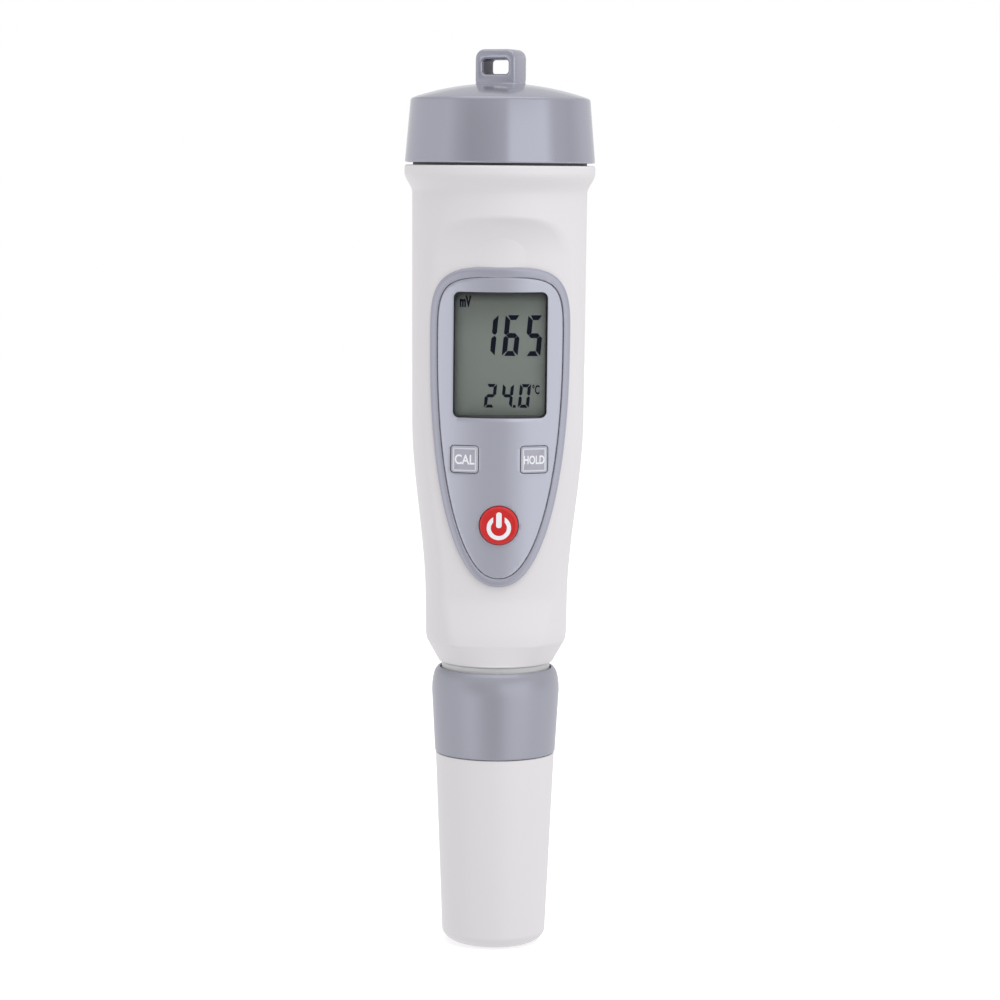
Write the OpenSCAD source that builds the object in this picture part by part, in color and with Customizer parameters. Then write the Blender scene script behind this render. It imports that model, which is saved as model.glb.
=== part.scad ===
// A pen-type water tester. A round, waterproof housing carries a display panel with three keys.
// A screwed battery cap with a lanyard loop closes its top. A ring nut holds the probe to its
// lower end, and a storage cap covers the probe. Millimetres, +Z up, the panel faces -Y, and the
// origin is the middle of the storage cap's foot. Heights stack up from the foot: storage cap,
// ring nut, housing, battery cap.

/* [Storage cap] */
// Height from the foot to the shoulder under the ring nut
store_h = 41.2; // [38:0.1:50]
// How much narrower the storage cap is at its foot than at its shoulder, on the radius
store_taper = 1.75; // [0.5:0.05:2.2]
// Wall of the storage cap
store_wall = 1.5; // [1.2:0.1:1.8]
// Reach of the foot's round edge, sideways
foot_round_w = 4.3; // [1:0.1:6]
// Reach of the foot's round edge, upwards
foot_round_h = 3; // [1:0.1:5]
// Height of the spigot that enters the ring nut
spigot_h = 4.1; // [3:0.1:6]
// Wall of the spigot
spigot_wall = 1.7; // [1.2:0.1:2]
// Height of the storage sponge
sponge_h = 5.3; // [3:0.1:6]

/* [Probe] */
// Bore of the housing's lower neck, which takes the probe's boss
neck_bore_d = 17.6; // [16:0.1:22]
// Diameter of the probe's shaft
shaft_d = 12; // [10:0.1:12.5]
// Height of the probe's tip above the foot
tip_z = 13.2; // [12.8:0.1:16]
// Depth of the guard's crown around the sensors
guard_h = 5.8; // [4:0.1:7]
// Height of the probe's flange
probe_flange_h = 2; // [1.5:0.1:3]
// Diameter of a connector pin
pin_d = 1; // [0.8:0.1:1.2]
// Length of a connector pin above the boss
pin_l = 5.8; // [4:0.1:6]

/* [Ring nut] */
// Height of the ring nut
nut_h = 18.3; // [17.5:0.1:24]
// Wall of the ring nut at its widest
nut_wall = 2.15; // [1.9:0.05:3]
// Pitch of the ring nut's thread
nut_pitch = 2.5; // [2:0.1:3]
// Height of the round shoulder at the ring nut's rim
nut_shoulder_h = 5; // [3:0.1:6]

/* [Housing] */
// Diameter of the housing under its top flange
body_d = 36.8; // [35:0.2:45]
// Height of the housing, without its two threaded necks
body_h = 105; // [103:0.5:130]
// Wall of the housing
wall = 2; // [1.6:0.1:2.4]
// How far the top flange stands out, on the radius
flange_out = 1.65; // [1:0.05:2]
// Height of the lower cone
cone_h = 5.2; // [4:0.1:8]
// How far the lower cone goes in, on the radius
cone_in = 2.88; // [2.4:0.02:4]
// Radius of the convex front that carries the panel
front_r = 31; // [28:0.5:40]
// Tilt of the front, in degrees
front_tilt = 2.8; // [1.5:0.1:3.5]

/* [Panel] */
// Width of the display window
win_w = 19.5; // [17:0.1:24]
// Height of the display window
win_h = 26.3; // [22:0.1:31]
// Panel beside the window
side_border = 4.85; // [4:0.05:6]
// Panel above the window
top_border = 5.15; // [4:0.05:7]
// Width of the bezel
bezel_w = 1.95; // [1.5:0.05:2.5]
// From the window's lower edge to the middle of the upper keys
key_row_gap = 8.75; // [7.5:0.05:12]
// From the middle of the upper keys to the middle of the power key
power_gap = 13.8; // [11:0.1:16]
// From the middle of the power key to the panel's lower tip
tip_gap = 13.1; // [10:0.1:16]
// Side of a square key
key_w = 5.6; // [4.8:0.1:6.8]
// From the panel's middle line to the middle of a square key
key_x = 7.25; // [6.5:0.05:8]
// Diameter of the power key
power_d = 8.1; // [7:0.1:10]
// Travel of a key
key_travel = 0.6; // [0.3:0.05:0.7]

/* [Batteries] */
// Diameter of a button cell
cell_d = 11.6; // [9.5:0.1:14]
// Height of a button cell
cell_h = 5.4; // [3.6:0.1:6.5]

/* [Battery cap] */
// Height of the cap's skirt
skirt_h = 13; // [12.5:0.1:18]
// How much narrower the skirt is at its top, on the radius
skirt_taper = 0.8; // [0:0.05:1.2]
// Radius of the cap's dome
dome_r = 57; // [50:1:80]
// Pitch of the cap's thread
cap_pitch = 3; // [2.5:0.1:3.5]
// Height of the lanyard loop over the dome
loop_h = 7; // [6:0.1:9]
// Width of the lanyard loop
loop_w = 9.3; // [8.5:0.1:12]
// Thickness of the lanyard loop
loop_t = 6; // [5:0.1:8]
// Turn of the lanyard loop about the cap, in degrees
loop_turn = -27; // [-90:1:90]

/* [Hidden] */
$fn = 96;
EPS = 0.01;

// Clearances
glue_gap = 0.05;   // between a bonded piece and its seat
key_gap = 0.15;    // around a key
slide_gap = 0.2;   // around a piece that slides or drops in
thread_gap = 0.3;  // from a thread's crest to the facing root
joint_gap = 0.1;   // between the ring nut and the storage cap
seat_gap = 0.05;   // under a piece that a screw cap presses

// Storage cap
floor_z = 2;

// Lower joint, radii from the bore outwards
neck_wall = 1.6;
thread_h = 0.7;
nut_lip = 1.35;
neck_bore_r = neck_bore_d / 2;
neck_r = neck_bore_r + neck_wall;
neck_crest_r = neck_r + thread_h;
nut_bore_r = neck_crest_r + thread_gap;
nut_crest_r = neck_r + 0.35;
nut_r = nut_bore_r + nut_wall;
collar_seal_r = neck_crest_r + 0.4;
rim_bore_r = collar_seal_r + 0.35;
rim_r = rim_bore_r + 0.45;
plug_r = neck_bore_r;
boss_r = neck_bore_r - 0.3;
ledge_r = plug_r + slide_gap;
o_ring_out_r = plug_r + 0.7;
spigot_in_r = o_ring_out_r + glue_gap;
spigot_r = spigot_in_r + spigot_wall;
recess_r = spigot_r + slide_gap;
nut_foot_r = recess_r + nut_lip;
probe_flange_r = nut_crest_r - slide_gap;
store_r = nut_foot_r - 0.15;
neck_end_r = collar_seal_r + 0.57;
waist_r = neck_end_r + cone_in;

// Lower joint, heights
nut_z = store_h + joint_gap;
nut_top_z = nut_z + nut_h;
neck_visible = 1.3;
body_z = nut_top_z + neck_visible;
collar_seal_h = 2.1;
neck_l = 10.9;
neck_z = body_z - neck_l;
gasket_h = 0.95;
probe_flange_z = neck_z - gasket_h - glue_gap - probe_flange_h;
ledge_h = 1.4;
ledge_z = probe_flange_z - ledge_h;
plug_bottom_z = store_h - 2.7;
o_ring_z = nut_z + 2.3;
o_ring_d = 1.5;
boss_h = 2;
boss_z = neck_z + boss_h;
bulkhead_z = tip_z + guard_h;
bulkhead_h = 3;
stem_r = 1.5;
junction_r = 0.8;
junction_x = 3.4;
temp_r = 0.9;
band_t = 0.2;
pin_ring_r = 4;
contact_wall = 0.45;
contact_bore_r = pin_d / 2 + 0.08;
socket_gap = 0.5;
socket_l = 9.5;
socket_z = boss_z + socket_gap;

// Housing, heights and radii
body_r = body_d / 2;
flange_z = body_z + body_h;
flange_r = body_r + flange_out;
flange_h = 1.6;
flare_h = 4.2;
straight_bottom_z = flange_z - 53;
straight_in = 0.25;
waist_z = body_z + 13;
cone_z = body_z + cone_h;
waist_in = 0.1;
top_neck_r = body_r - 2.6;
top_neck_wall = 1.6;
top_bore_r = top_neck_r - top_neck_wall;
cap_thread_h = 0.8;
top_neck_h = 10.6;
top_neck_z = flange_z + top_neck_h;
floor_t = 2;

// Battery bay, from the top down
holder_r = top_bore_r - slide_gap;
holder_rise = 0.1;
holder_floor = 1;
contact_t = 0.4;
cells = 4;
cell_gap = 0.15;
holder_top_z = flange_z + holder_rise;
cell_z = holder_top_z - cells * cell_h;
holder_z = cell_z - contact_t - holder_floor;
shelf_t = 1.2;
shelf_r = holder_r - 2;
board_top_z = holder_z - shelf_t - 0.3;

// Display and panel. Panel coordinates: x across, y into the housing, z up along the tilted front.
lcd_w = win_w + 2;
lcd_h = win_h + 2.3;
lcd_t = 1.8;
window_z = board_top_z - 0.5 - lcd_h / 2;
panel_a = win_w / 2 + side_border;
panel_top = win_h / 2 + top_border;
key_row = -win_h / 2 - key_row_gap;
power_row = key_row - power_gap;
panel_tip = power_row - tip_gap;
panel_mid = 3;
land = 0.7;
bezel_in = 0.6;
bezel_proud = 0.75;
groove = 0.25;
plate_proud = 0.55;
lens_proud = 0.1;
window_round = 1;
front_w = panel_a + land;
layer_reach = 70;
front_y = -(front_r + sqrt(body_r * body_r - front_w * front_w)
            - sqrt(front_r * front_r - front_w * front_w));
cove_bottom = panel_top + 1.8;
cove_h = 8.6;
cove_d = body_r + front_y + cove_bottom * sin(-front_tilt) + 0.35;
scoop_bottom = panel_tip - 3;
heel_z = body_z + 6.6;
heel_in = 2.2;
lcd_y = curve_drop(lcd_w / 2, -bezel_in) + 0.12;
key_flange = 0.8;
key_flange_t = 0.55;
key_back = -wall - key_flange_t - glue_gap;
key_proud = 0.9;
power_proud = 1.2;
key_rim_x = key_x + key_w / 2 + key_flange;
membrane_y = curve_drop(key_rim_x, key_back) + key_travel + 0.1;
stem_y = membrane_y - key_travel - 0.1;
membrane_t = 0.65;
membrane_w = 2 * (key_x + 2.8);
switch_w = 4.4;
switch_h = 1;
plunger_h = 0.3;
switch_gap = 0.3;
zebra_min_h = 2.2;
board_y = max(lcd_y + lcd_t + zebra_min_h,
              membrane_y + membrane_t + switch_gap + switch_h + plunger_h);
zebra_h = board_y - lcd_y - lcd_t;
board_t = 1.2;
board_w = lcd_w + 1.7;
board_bottom = heel_z + 2.6 - window_z;
screw_x = lcd_w / 2 - 0.7;
screw_z = lcd_h / 2 - 5;
screw_r = 0.5;

// Battery leads, which end behind the board's top edge
lead_red_x = -11;
lead_black_x = 3;
lead_hole_r = 0.85;
lead_r = 0.6;
lead_end_y = front_y + (board_y + board_t) * cos(front_tilt) - 12 * sin(front_tilt) + 1;

// Battery cap
cap_gap = 0.5;
cap_z = flange_z + cap_gap;
cap_r = flange_r - 0.05;
cap_lip = 1.5;
cap_gasket_h = 1.3;
cap_counter_r = cap_r - cap_lip;
cap_gasket_r = cap_counter_r - slide_gap;
cap_bore_r = top_neck_r + cap_thread_h + thread_gap;
cap_crest_r = top_neck_r + thread_gap;
cap_top_r = cap_r - skirt_taper;
cap_edge_z = cap_z + skirt_h;
edge_round = 0.6;
dome_edge_r = cap_top_r - edge_round;
dome_rise = dome_r - sqrt(dome_r * dome_r - dome_edge_r * dome_edge_r);
apex_z = cap_edge_z + edge_round + dome_rise - 0.1;
ceiling_z = top_neck_z + 1;
disc_r = 8.8;
disc_t = 1;
disc_z = holder_top_z + 2;
boss_in_r = disc_r + 0.3;
boss_out_r = boss_in_r + 1.8;
hook_r = disc_r - 0.6;
hook_h = 0.75;
boss_top_z = apex_z - 2.5;
spring_r = 6;
spring_wire_r = 0.4;
hole_w = 6.4;
hole_h = 3.1;
hole_round = 0.6;
loop_round = 2;

// Thread ridges
ridge_steps = 24;
ridge_root_w = 0.42;
ridge_crest_w = 0.22;
male_turns = 2.1;
female_turns = 1.5;

// ---- Functions ----

function smooth(t) = t * t * (3 - 2 * t);

// How far the convex front has dropped back at x, at a level measured out from the panel face
function curve_drop(x, level) = front_r - sqrt(pow(front_r + level, 2) - x * x);

// Half of the panel's outline as an egg: one power curve above its widest line, one below
function egg_x(a, t, power) = a * pow(max(0, 1 - pow(t, power)), 1 / power);
function egg(inset, steps = 14) =
    let (a = panel_a - inset, up = panel_top - inset - panel_mid, down = panel_mid - panel_tip - inset)
    let (upper = [for (i = [0:steps]) let (t = sin(90 * i / steps))
                  [egg_x(a, t, 3.6), panel_mid + up * t]],
         lower = [for (i = [steps:-1:1]) let (t = sin(90 * i / steps))
                  [egg_x(a, t, 2.25), panel_mid - down * t]])
    concat(lower, upper, [for (i = [steps - 1:-1:0]) [-upper[i][0], upper[i][1]]],
           [for (i = [steps - 1:-1:1]) [-lower[i][0], lower[i][1]]]);

// Outer half-profile of the housing, brought in by an inset
function side_profile(inset) = concat(
    [[neck_end_r - inset, body_z], [waist_r - inset - 0.25, cone_z - 0.45],
     [waist_r - inset, cone_z + 0.4]],
    [for (i = [0:12]) let (t = i / 12)
     [waist_r + waist_in + (body_r - straight_in - waist_r - waist_in) * smooth(t) - inset,
      waist_z + (straight_bottom_z - waist_z) * t]],
    [for (i = [0:8]) let (t = i / 8)
     [body_r + flange_out * smooth(t) - inset, flange_z - flange_h - flare_h * (1 - t)]]);

// ---- Shared shapes ----

module on_panel() {
    translate([0, front_y, window_z]) rotate([front_tilt, 0, 0]) children();
}

// An outline drawn in x and z, pushed through the front
module through(y0, y1) {
    translate([0, y1, 0]) rotate([90, 0, 0]) linear_extrude(y1 - y0) children();
}

// The outline between two levels of the convex front
module front_layer(inner, outer) {
    intersection() {
        through(-4, front_r * 0.6) children();
        translate([0, front_r, -layer_reach]) cylinder(r = front_r + outer, h = 2 * layer_reach);
        difference() {
            through(-6, front_r * 0.6 + 1) square([80, 2 * layer_reach - 2], center = true);
            translate([0, front_r, -layer_reach]) cylinder(r = front_r + inner, h = 2 * layer_reach);
        }
    }
}

module round_rect(w, h, r) {
    square([w - 2 * r, h], center = true);
    square([w, h - 2 * r], center = true);
    for (x = [-1, 1], z = [-1, 1]) translate([x * (w / 2 - r), z * (h / 2 - r)])
        circle(r = r, $fn = 32);
}

module ring(r_out, r_in, z, h) {
    translate([0, 0, z]) difference() {
        cylinder(r = r_out, h = h);
        translate([0, 0, -1]) cylinder(r = r_in, h = h + 2);
    }
}

// A solid through a list of rings that all have the same number of points. Seen along the way
// from the first ring to the last, each ring's points turn anticlockwise.
module skin(rings) {
    n = len(rings[0]);
    m = len(rings);
    polyhedron(
        points = [for (ring = rings) each ring],
        faces = concat(
            [[for (i = [n - 1:-1:0]) i]],
            [for (j = [0:m - 2], i = [0:n - 1]) each [
                [j * n + i, j * n + (i + 1) % n, (j + 1) * n + i],
                [j * n + (i + 1) % n, (j + 1) * n + (i + 1) % n, (j + 1) * n + i]]],
            [[for (i = [0:n - 1]) (m - 1) * n + i]]));
}

// One thread ridge. Its root is sunk into the wall that carries it.
module ridge(root_r, crest_r, pitch, turns, z) {
    root = ridge_root_w * pitch / 2;
    crest = ridge_crest_w * pitch / 2;
    side = crest_r > root_r ? 1 : -1;
    skin([for (i = [0:round(turns * ridge_steps)])
        let (a = 360 * i / ridge_steps, h = z + pitch * i / ridge_steps,
             p = [[root_r, -side * root], [crest_r, -side * crest],
                  [crest_r, side * crest], [root_r, side * root]])
        [for (q = p) [q[0] * cos(a), q[0] * sin(a), h + q[1]]]]);
}

// A wire down through points, in level rings, so no stretch of it may lie flat
module wire(points, r) {
    skin([for (p = points) [for (a = [0:45:315]) [p[0] + r * cos(a), p[1] + r * sin(a), p[2]]]]);
}

module coil(r, wire_r, z0, z1, turns) {
    steps = 16;
    count = turns * steps;
    skin([for (i = [0:count])
        let (a = 360 * i / steps, h = z0 + wire_r + (z1 - z0 - 2 * wire_r) * i / count)
        [for (k = [0:5]) [(r + wire_r * cos(60 * k)) * cos(a), (r + wire_r * cos(60 * k)) * sin(a),
                          h + wire_r * sin(60 * k)]]]);
}

// ---- Housing ----

// Everything behind the scooped front: a cove over the panel, the convex face, a heel under it
module behind_front(inset) {
    heel_y = (-(waist_r - heel_in) - front_y) * cos(front_tilt)
             + (heel_z - window_z) * sin(front_tilt);
    on_panel() translate([0, front_r, 0]) rotate_extrude() polygon(concat(
        [[0, -90], [front_r - heel_y + 1.2 - inset, -90],
         [front_r - heel_y - inset, heel_z - window_z], [front_r - inset, scoop_bottom]],
        [for (a = [0:9:90]) [front_r + cove_d * (1 - cos(a)) - inset, cove_bottom + cove_h * sin(a)]],
        [[front_r + cove_d + flange_out + 4, cove_bottom + cove_h],
         [front_r + cove_d + flange_out + 4, 70], [0, 70]]));
}

module body_of_revolution(inset, z0, z1) {
    profile = side_profile(inset);
    intersection() {
        rotate_extrude() polygon(concat([[0, body_z]], profile,
            [[flange_r - inset, flange_z], [0, flange_z]]));
        translate([0, 0, z0]) cylinder(r = flange_r + 5, h = z1 - z0);
    }
}

module key_holes(grow) {
    for (x = [-1, 1]) translate([x * key_x, key_row])
        round_rect(key_w + 2 * grow, key_w + 2 * grow, 0.6 + grow);
    translate([0, power_row]) circle(r = power_d / 2 + grow);
}

module cavity() {
    intersection() {
        body_of_revolution(wall, body_z + floor_t, flange_z - 6);
        behind_front(wall);
    }
    translate([0, 0, flange_z - 6 - EPS])
        cylinder(r1 = body_r - wall, r2 = top_bore_r, h = 3 + EPS);
    translate([0, 0, flange_z - 3 - EPS]) cylinder(r = top_bore_r, h = top_neck_h + 4);
    translate([0, 0, neck_z - 1]) cylinder(r = neck_bore_r, h = neck_l + floor_t + 2);
}

// Two slots that the board slides down into
module board_rails() {
    rail_t = 1.2;
    rail_x = board_w / 2 - 0.7;
    gap = 0.1;
    rail_top = -lcd_h / 2 - 3;
    intersection() {
        body_of_revolution(wall / 4, body_z + floor_t, flange_z - 8);
        on_panel() for (s = [-1, 1], y = [board_y - gap - rail_t, board_y + board_t + gap])
            translate([s > 0 ? rail_x : -rail_x - 20, y, board_bottom])
                cube([20, rail_t, rail_top - board_bottom]);
    }
}

module housing() color([0.87, 0.86, 0.87]) {
    difference() {
        union() {
            intersection() {
                body_of_revolution(0, body_z, flange_z);
                behind_front(0);
            }
            translate([0, 0, flange_z - 1]) cylinder(r = top_neck_r, h = top_neck_h + 1);
            translate([0, 0, neck_z]) cylinder(r = neck_r, h = neck_l + 1);
            ridge(top_neck_r - 0.3, top_neck_r + cap_thread_h, cap_pitch, male_turns, flange_z + 3.1);
            ridge(neck_r - 0.3, neck_crest_r, nut_pitch, male_turns, neck_z + 1.9);
        }
        cavity();
        on_panel() {
            front_layer(-bezel_in, 3) polygon(egg(-0.1));
            front_layer(-wall - 1, 3) round_rect(lcd_w + 0.5, lcd_h + 0.5, window_round / 2);
            front_layer(-wall - 1, 3) key_holes(key_gap);
        }
    }
    ring(body_r - wall / 2, shelf_r, holder_z - shelf_t, shelf_t);
    board_rails();
}

// ---- Battery cap and what it carries ----

module cap_shell() {
    rotate_extrude() polygon(concat(
        [[0, cap_z], [cap_r, cap_z], [cap_top_r, cap_edge_z]],
        [for (a = [15:15:75]) [dome_edge_r + edge_round * cos(a),
                               cap_edge_z + (edge_round - 0.1) * sin(a)]],
        [for (i = [8:-1:0]) let (r = dome_edge_r * i / 8)
         [r, apex_z - dome_r + sqrt(dome_r * dome_r - r * r)]]));
}

module lanyard_loop() {
    base_z = apex_z - 2;
    h = apex_z + loop_h - base_z;
    hole_z = h - 2.15 - hole_h / 2;
    rotate([0, 0, loop_turn]) translate([0, loop_t / 2, base_z]) rotate([90, 0, 0])
        linear_extrude(loop_t) difference() {
            union() {
                translate([-loop_w / 2, 0]) square([loop_w, h - loop_round]);
                translate([-loop_w / 2 + loop_round, 0]) square([loop_w - 2 * loop_round, h]);
                for (x = [-1, 1]) translate([x * (loop_w / 2 - loop_round), h - loop_round])
                    circle(r = loop_round);
            }
            translate([0, hole_z]) round_rect(hole_w, hole_h, hole_round);
        }
}

module battery_cap() color([0.64, 0.65, 0.70]) {
    difference() {
        union() {
            cap_shell();
            lanyard_loop();
        }
        translate([0, 0, cap_z - 1]) cylinder(r = cap_counter_r, h = 1 + cap_gasket_h - cap_gap + 0.1);
        translate([0, 0, cap_z - 1]) cylinder(r = cap_bore_r, h = ceiling_z - cap_z + 1);
        translate([0, 0, cap_z]) cylinder(r = boss_in_r, h = boss_top_z - cap_z);
    }
    ring(boss_out_r, boss_in_r, disc_z - hook_h - seat_gap, ceiling_z - disc_z + hook_h + 1);
    ring(boss_in_r + 0.5, hook_r, disc_z - hook_h - seat_gap, hook_h);
    ridge(cap_bore_r + 0.3, cap_crest_r, cap_pitch, female_turns, flange_z + 3.1 + cap_pitch / 2);
}

module cap_gasket() color([0.25, 0.21, 0.20])
    ring(cap_gasket_r, top_neck_r + slide_gap, flange_z, cap_gasket_h);

module contact_disc() color([0.80, 0.78, 0.70]) {
    button_r = 5;
    translate([0, 0, disc_z]) cylinder(r = disc_r, h = disc_t);
    translate([0, 0, holder_top_z + contact_t + 0.5 + seat_gap])
        cylinder(r = button_r, h = disc_z - holder_top_z - contact_t - 0.5);
}

module contact_spring() color([0.75, 0.75, 0.76])
    coil(spring_r, spring_wire_r, disc_z + disc_t, boss_top_z - seat_gap, 5);

// ---- Batteries ----

module battery_holder() color([0.13, 0.13, 0.14]) difference() {
    intersection() {
        translate([0, 0, holder_z]) cylinder(r = holder_r, h = holder_top_z - holder_z);
        behind_front(wall + slide_gap);
    }
    translate([0, 0, holder_z + holder_floor])
        cylinder(r = cell_d / 2 + cell_gap, h = holder_top_z - holder_z);
    translate([-cell_d / 2 + 0.6, 0, holder_z + holder_floor])
        cube([cell_d - 1.2, holder_r + 1, cells * cell_h - 1.2]);
    translate([lead_red_x, 0, holder_z - 1])
        cylinder(r = lead_hole_r, h = holder_top_z - holder_z + 2);
    translate([lead_black_x, -lead_black_x, holder_z - 1]) cylinder(r = lead_hole_r, h = 3);
}

module top_contact() color([0.82, 0.72, 0.42]) translate([0, 0, holder_top_z]) {
    cylinder(r = 4.5, h = contact_t);
    translate([lead_red_x - 1, -1.5, 0]) cube([-lead_red_x, 3, contact_t]);
    cylinder(r = 2.5, h = contact_t + 0.5);
}

module bottom_contact() color([0.82, 0.72, 0.42])
    translate([0, 0, holder_z + holder_floor]) cylinder(r = cell_d / 2 - 0.3, h = contact_t);

module button_cell(i) color([0.78, 0.79, 0.80]) {
    can_h = cell_h * 0.8;
    translate([0, 0, cell_z + i * cell_h]) rotate_extrude() polygon([
        [0, 0], [cell_d / 2 - 0.9, 0], [cell_d / 2 - 0.9, cell_h - can_h - 0.2],
        [cell_d / 2 - 0.2, cell_h - can_h], [cell_d / 2, cell_h - can_h + 0.3],
        [cell_d / 2, cell_h - 0.3], [cell_d / 2 - 0.3, cell_h], [0, cell_h]]);
}

module battery_lead_red() color([0.75, 0.1, 0.1])
    wire([[lead_red_x, 0, holder_top_z - 0.1], [lead_red_x, 0, holder_z - 0.1],
          [lead_red_x + 0.5, -1, holder_z - 1.5], [lead_red_x + 3, lead_end_y, board_top_z - 3],
          [lead_red_x + 3, lead_end_y, board_top_z - 5]], lead_r);

module battery_lead_black() color([0.1, 0.1, 0.1])
    wire([[lead_black_x, -lead_black_x, holder_z + holder_floor],
          [lead_black_x, -lead_black_x, holder_z - 0.5],
          [lead_black_x, lead_end_y, board_top_z - 2],
          [lead_black_x, lead_end_y, board_top_z - 5]], lead_r);

// ---- Panel and display ----

module bezel() color([0.66, 0.66, 0.72]) on_panel()
    front_layer(-bezel_in + glue_gap, bezel_proud) difference() {
        polygon(egg(0));
        polygon(egg(bezel_w - groove));
    }

module faceplate() color([0.70, 0.71, 0.77]) on_panel()
    front_layer(-bezel_in + glue_gap, plate_proud) difference() {
        polygon(egg(bezel_w));
        round_rect(win_w, win_h, window_round);
        key_holes(key_gap);
    }

module display_window() color([0.8, 0.85, 0.85, 0.3]) on_panel()
    front_layer(-bezel_in + glue_gap, lens_proud)
        round_rect(win_w - 2 * glue_gap, win_h - 2 * glue_gap, window_round - glue_gap);

module lcd_glass() color([0.45, 0.48, 0.44]) on_panel() through(lcd_y, lcd_y + lcd_t)
    square([lcd_w, lcd_h], center = true);

module screw_places() for (x = [-1, 1], z = [-1, 1])
    translate([x * screw_x, z * screw_z]) children();

module lcd_frame() color([0.92, 0.92, 0.9]) on_panel()
    through(lcd_y + lcd_t, board_y) difference() {
        square([lcd_w + 0.9, lcd_h + 0.9], center = true);
        square([lcd_w - 3.2, lcd_h - 1.4], center = true);
        screw_places() circle(r = screw_r + glue_gap, $fn = 24);
    }

module zebra_strips() color([0.85, 0.55, 0.6]) on_panel() for (s = [-1, 1])
    translate([-lcd_w / 2 + 1.8, lcd_y + lcd_t, s * (lcd_h / 2 - 1.8) - 0.9])
        cube([lcd_w - 3.6, zebra_h, 1.8]);

module frame_screws() color([0.75, 0.75, 0.77]) on_panel() {
    head_h = 0.6;
    back_y = board_y + board_t;
    through(board_y - 1.6, back_y + EPS) screw_places() circle(r = screw_r, $fn = 24);
    through(back_y, back_y + head_h) screw_places() circle(r = 2 * screw_r, $fn = 24);
}

module main_board() color([0.10, 0.35, 0.18]) on_panel()
    through(board_y, board_y + board_t) difference() {
        top = (board_top_z - window_z) / cos(front_tilt) - (board_y + board_t) * tan(front_tilt);
        translate([-board_w / 2, board_bottom + 0.5]) square([board_w, top - board_bottom - 0.5]);
        screw_places() circle(r = screw_r + 0.1, $fn = 24);
    }

module behind_board(x, z, w, h, t) {
    on_panel() translate([x - w / 2, board_y + board_t, z - h / 2]) cube([w, t, h]);
}

module mcu_chip() color([0.1, 0.1, 0.1]) behind_board(0, key_row, 9, 9, 1.2);

module amplifier_chip() color([0.1, 0.1, 0.1]) behind_board(3, power_row - 3, 4, 5, 1.4);

module crystal() color([0.8, 0.8, 0.82]) behind_board(-6.5, key_row - 8, 2.4, 6, 1.6);

module capacitors() color([0.75, 0.6, 0.35])
    for (i = [0:3]) behind_board(-6 + 4 * i, key_row + 8, 1.2, 2, 1);

module key_switch(x, z) color([0.2, 0.2, 0.22]) on_panel() {
    front = board_y - switch_h;
    translate([x - switch_w / 2, front, z - switch_w / 2]) cube([switch_w, switch_h, switch_w]);
    through(front - plunger_h, front + EPS) translate([x, z]) circle(r = 1.1, $fn = 32);
}

module keypad_membrane() color([0.8, 0.8, 0.78]) on_panel() {
    top = key_row + key_w / 2 + 2.4;
    bottom = power_row - power_d / 2 - 2;
    through(membrane_y, membrane_y + membrane_t)
        translate([-membrane_w / 2, bottom]) square([membrane_w, top - bottom]);
    through(membrane_y, board_y) for (x = [-1, 1], z = [bottom + 1, top - 1])
        translate([x * (membrane_w / 2 - 1), z]) circle(r = 0.9, $fn = 32);
}

module key_stem(x, z) {
    through(curve_drop(abs(x), -wall), stem_y) translate([x, z]) circle(r = 1.4, $fn = 32);
}

module square_key(x) color([0.68, 0.69, 0.75]) on_panel() {
    flange_w = key_w + 2 * key_flange;
    front_layer(key_back, key_proud)
        translate([x, key_row]) round_rect(key_w, key_w, 0.6);
    front_layer(key_back, -wall - glue_gap)
        translate([x, key_row]) round_rect(flange_w, flange_w, 0.6);
    key_stem(x, key_row);
}

module power_key() color([0.80, 0.16, 0.16]) on_panel() {
    front_layer(key_back, power_proud)
        translate([0, power_row]) circle(r = power_d / 2);
    front_layer(key_back, -wall - glue_gap)
        translate([0, power_row]) circle(r = power_d / 2 + key_flange);
    key_stem(0, power_row);
}

// ---- Probe connector in the housing ----

module at_pins() for (a = [45:90:315]) rotate([0, 0, a]) translate([pin_ring_r, 0, 0]) children();

module probe_socket() color([0.12, 0.12, 0.13]) difference() {
    translate([0, 0, socket_z]) cylinder(r = neck_bore_r - glue_gap, h = socket_l);
    at_pins() translate([0, 0, socket_z - 1])
        cylinder(r = contact_bore_r + contact_wall + glue_gap, h = socket_l + 2, $fn = 32);
}

module socket_contacts() color([0.83, 0.70, 0.35]) at_pins() difference() {
    translate([0, 0, socket_z + 0.4])
        cylinder(r = contact_bore_r + contact_wall, h = socket_l - 0.4, $fn = 32);
    translate([0, 0, socket_z - 1]) cylinder(r = contact_bore_r, h = socket_l - 1, $fn = 32);
}

module probe_leads() color([0.2, 0.4, 0.7]) {
    top_z = socket_z + socket_l;
    low_z = window_z + board_bottom;
    back_y = front_y + (board_y + board_t) * cos(front_tilt) - board_bottom * sin(front_tilt) + 1;
    for (x = [-1, 1], y = [0, 1]) {
        pin = pin_ring_r * sin(45);
        wire([[x * (3 + 3 * y), back_y - 0.2, low_z + 7], [x * (3 + 3 * y), back_y, low_z + 3],
              [x * pin, y > 0 ? pin : -pin, top_z + 1.2], [x * pin, y > 0 ? pin : -pin, top_z]], 0.45);
    }
}

module collar_seal() color([0.80, 0.80, 0.79]) rotate_extrude() polygon([
    [neck_r + glue_gap, body_z - collar_seal_h], [collar_seal_r, body_z - collar_seal_h],
    [collar_seal_r, body_z - 0.3], [collar_seal_r - 0.2, body_z - glue_gap],
    [neck_r + glue_gap, body_z - glue_gap]]);

// ---- Ring nut ----

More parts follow.
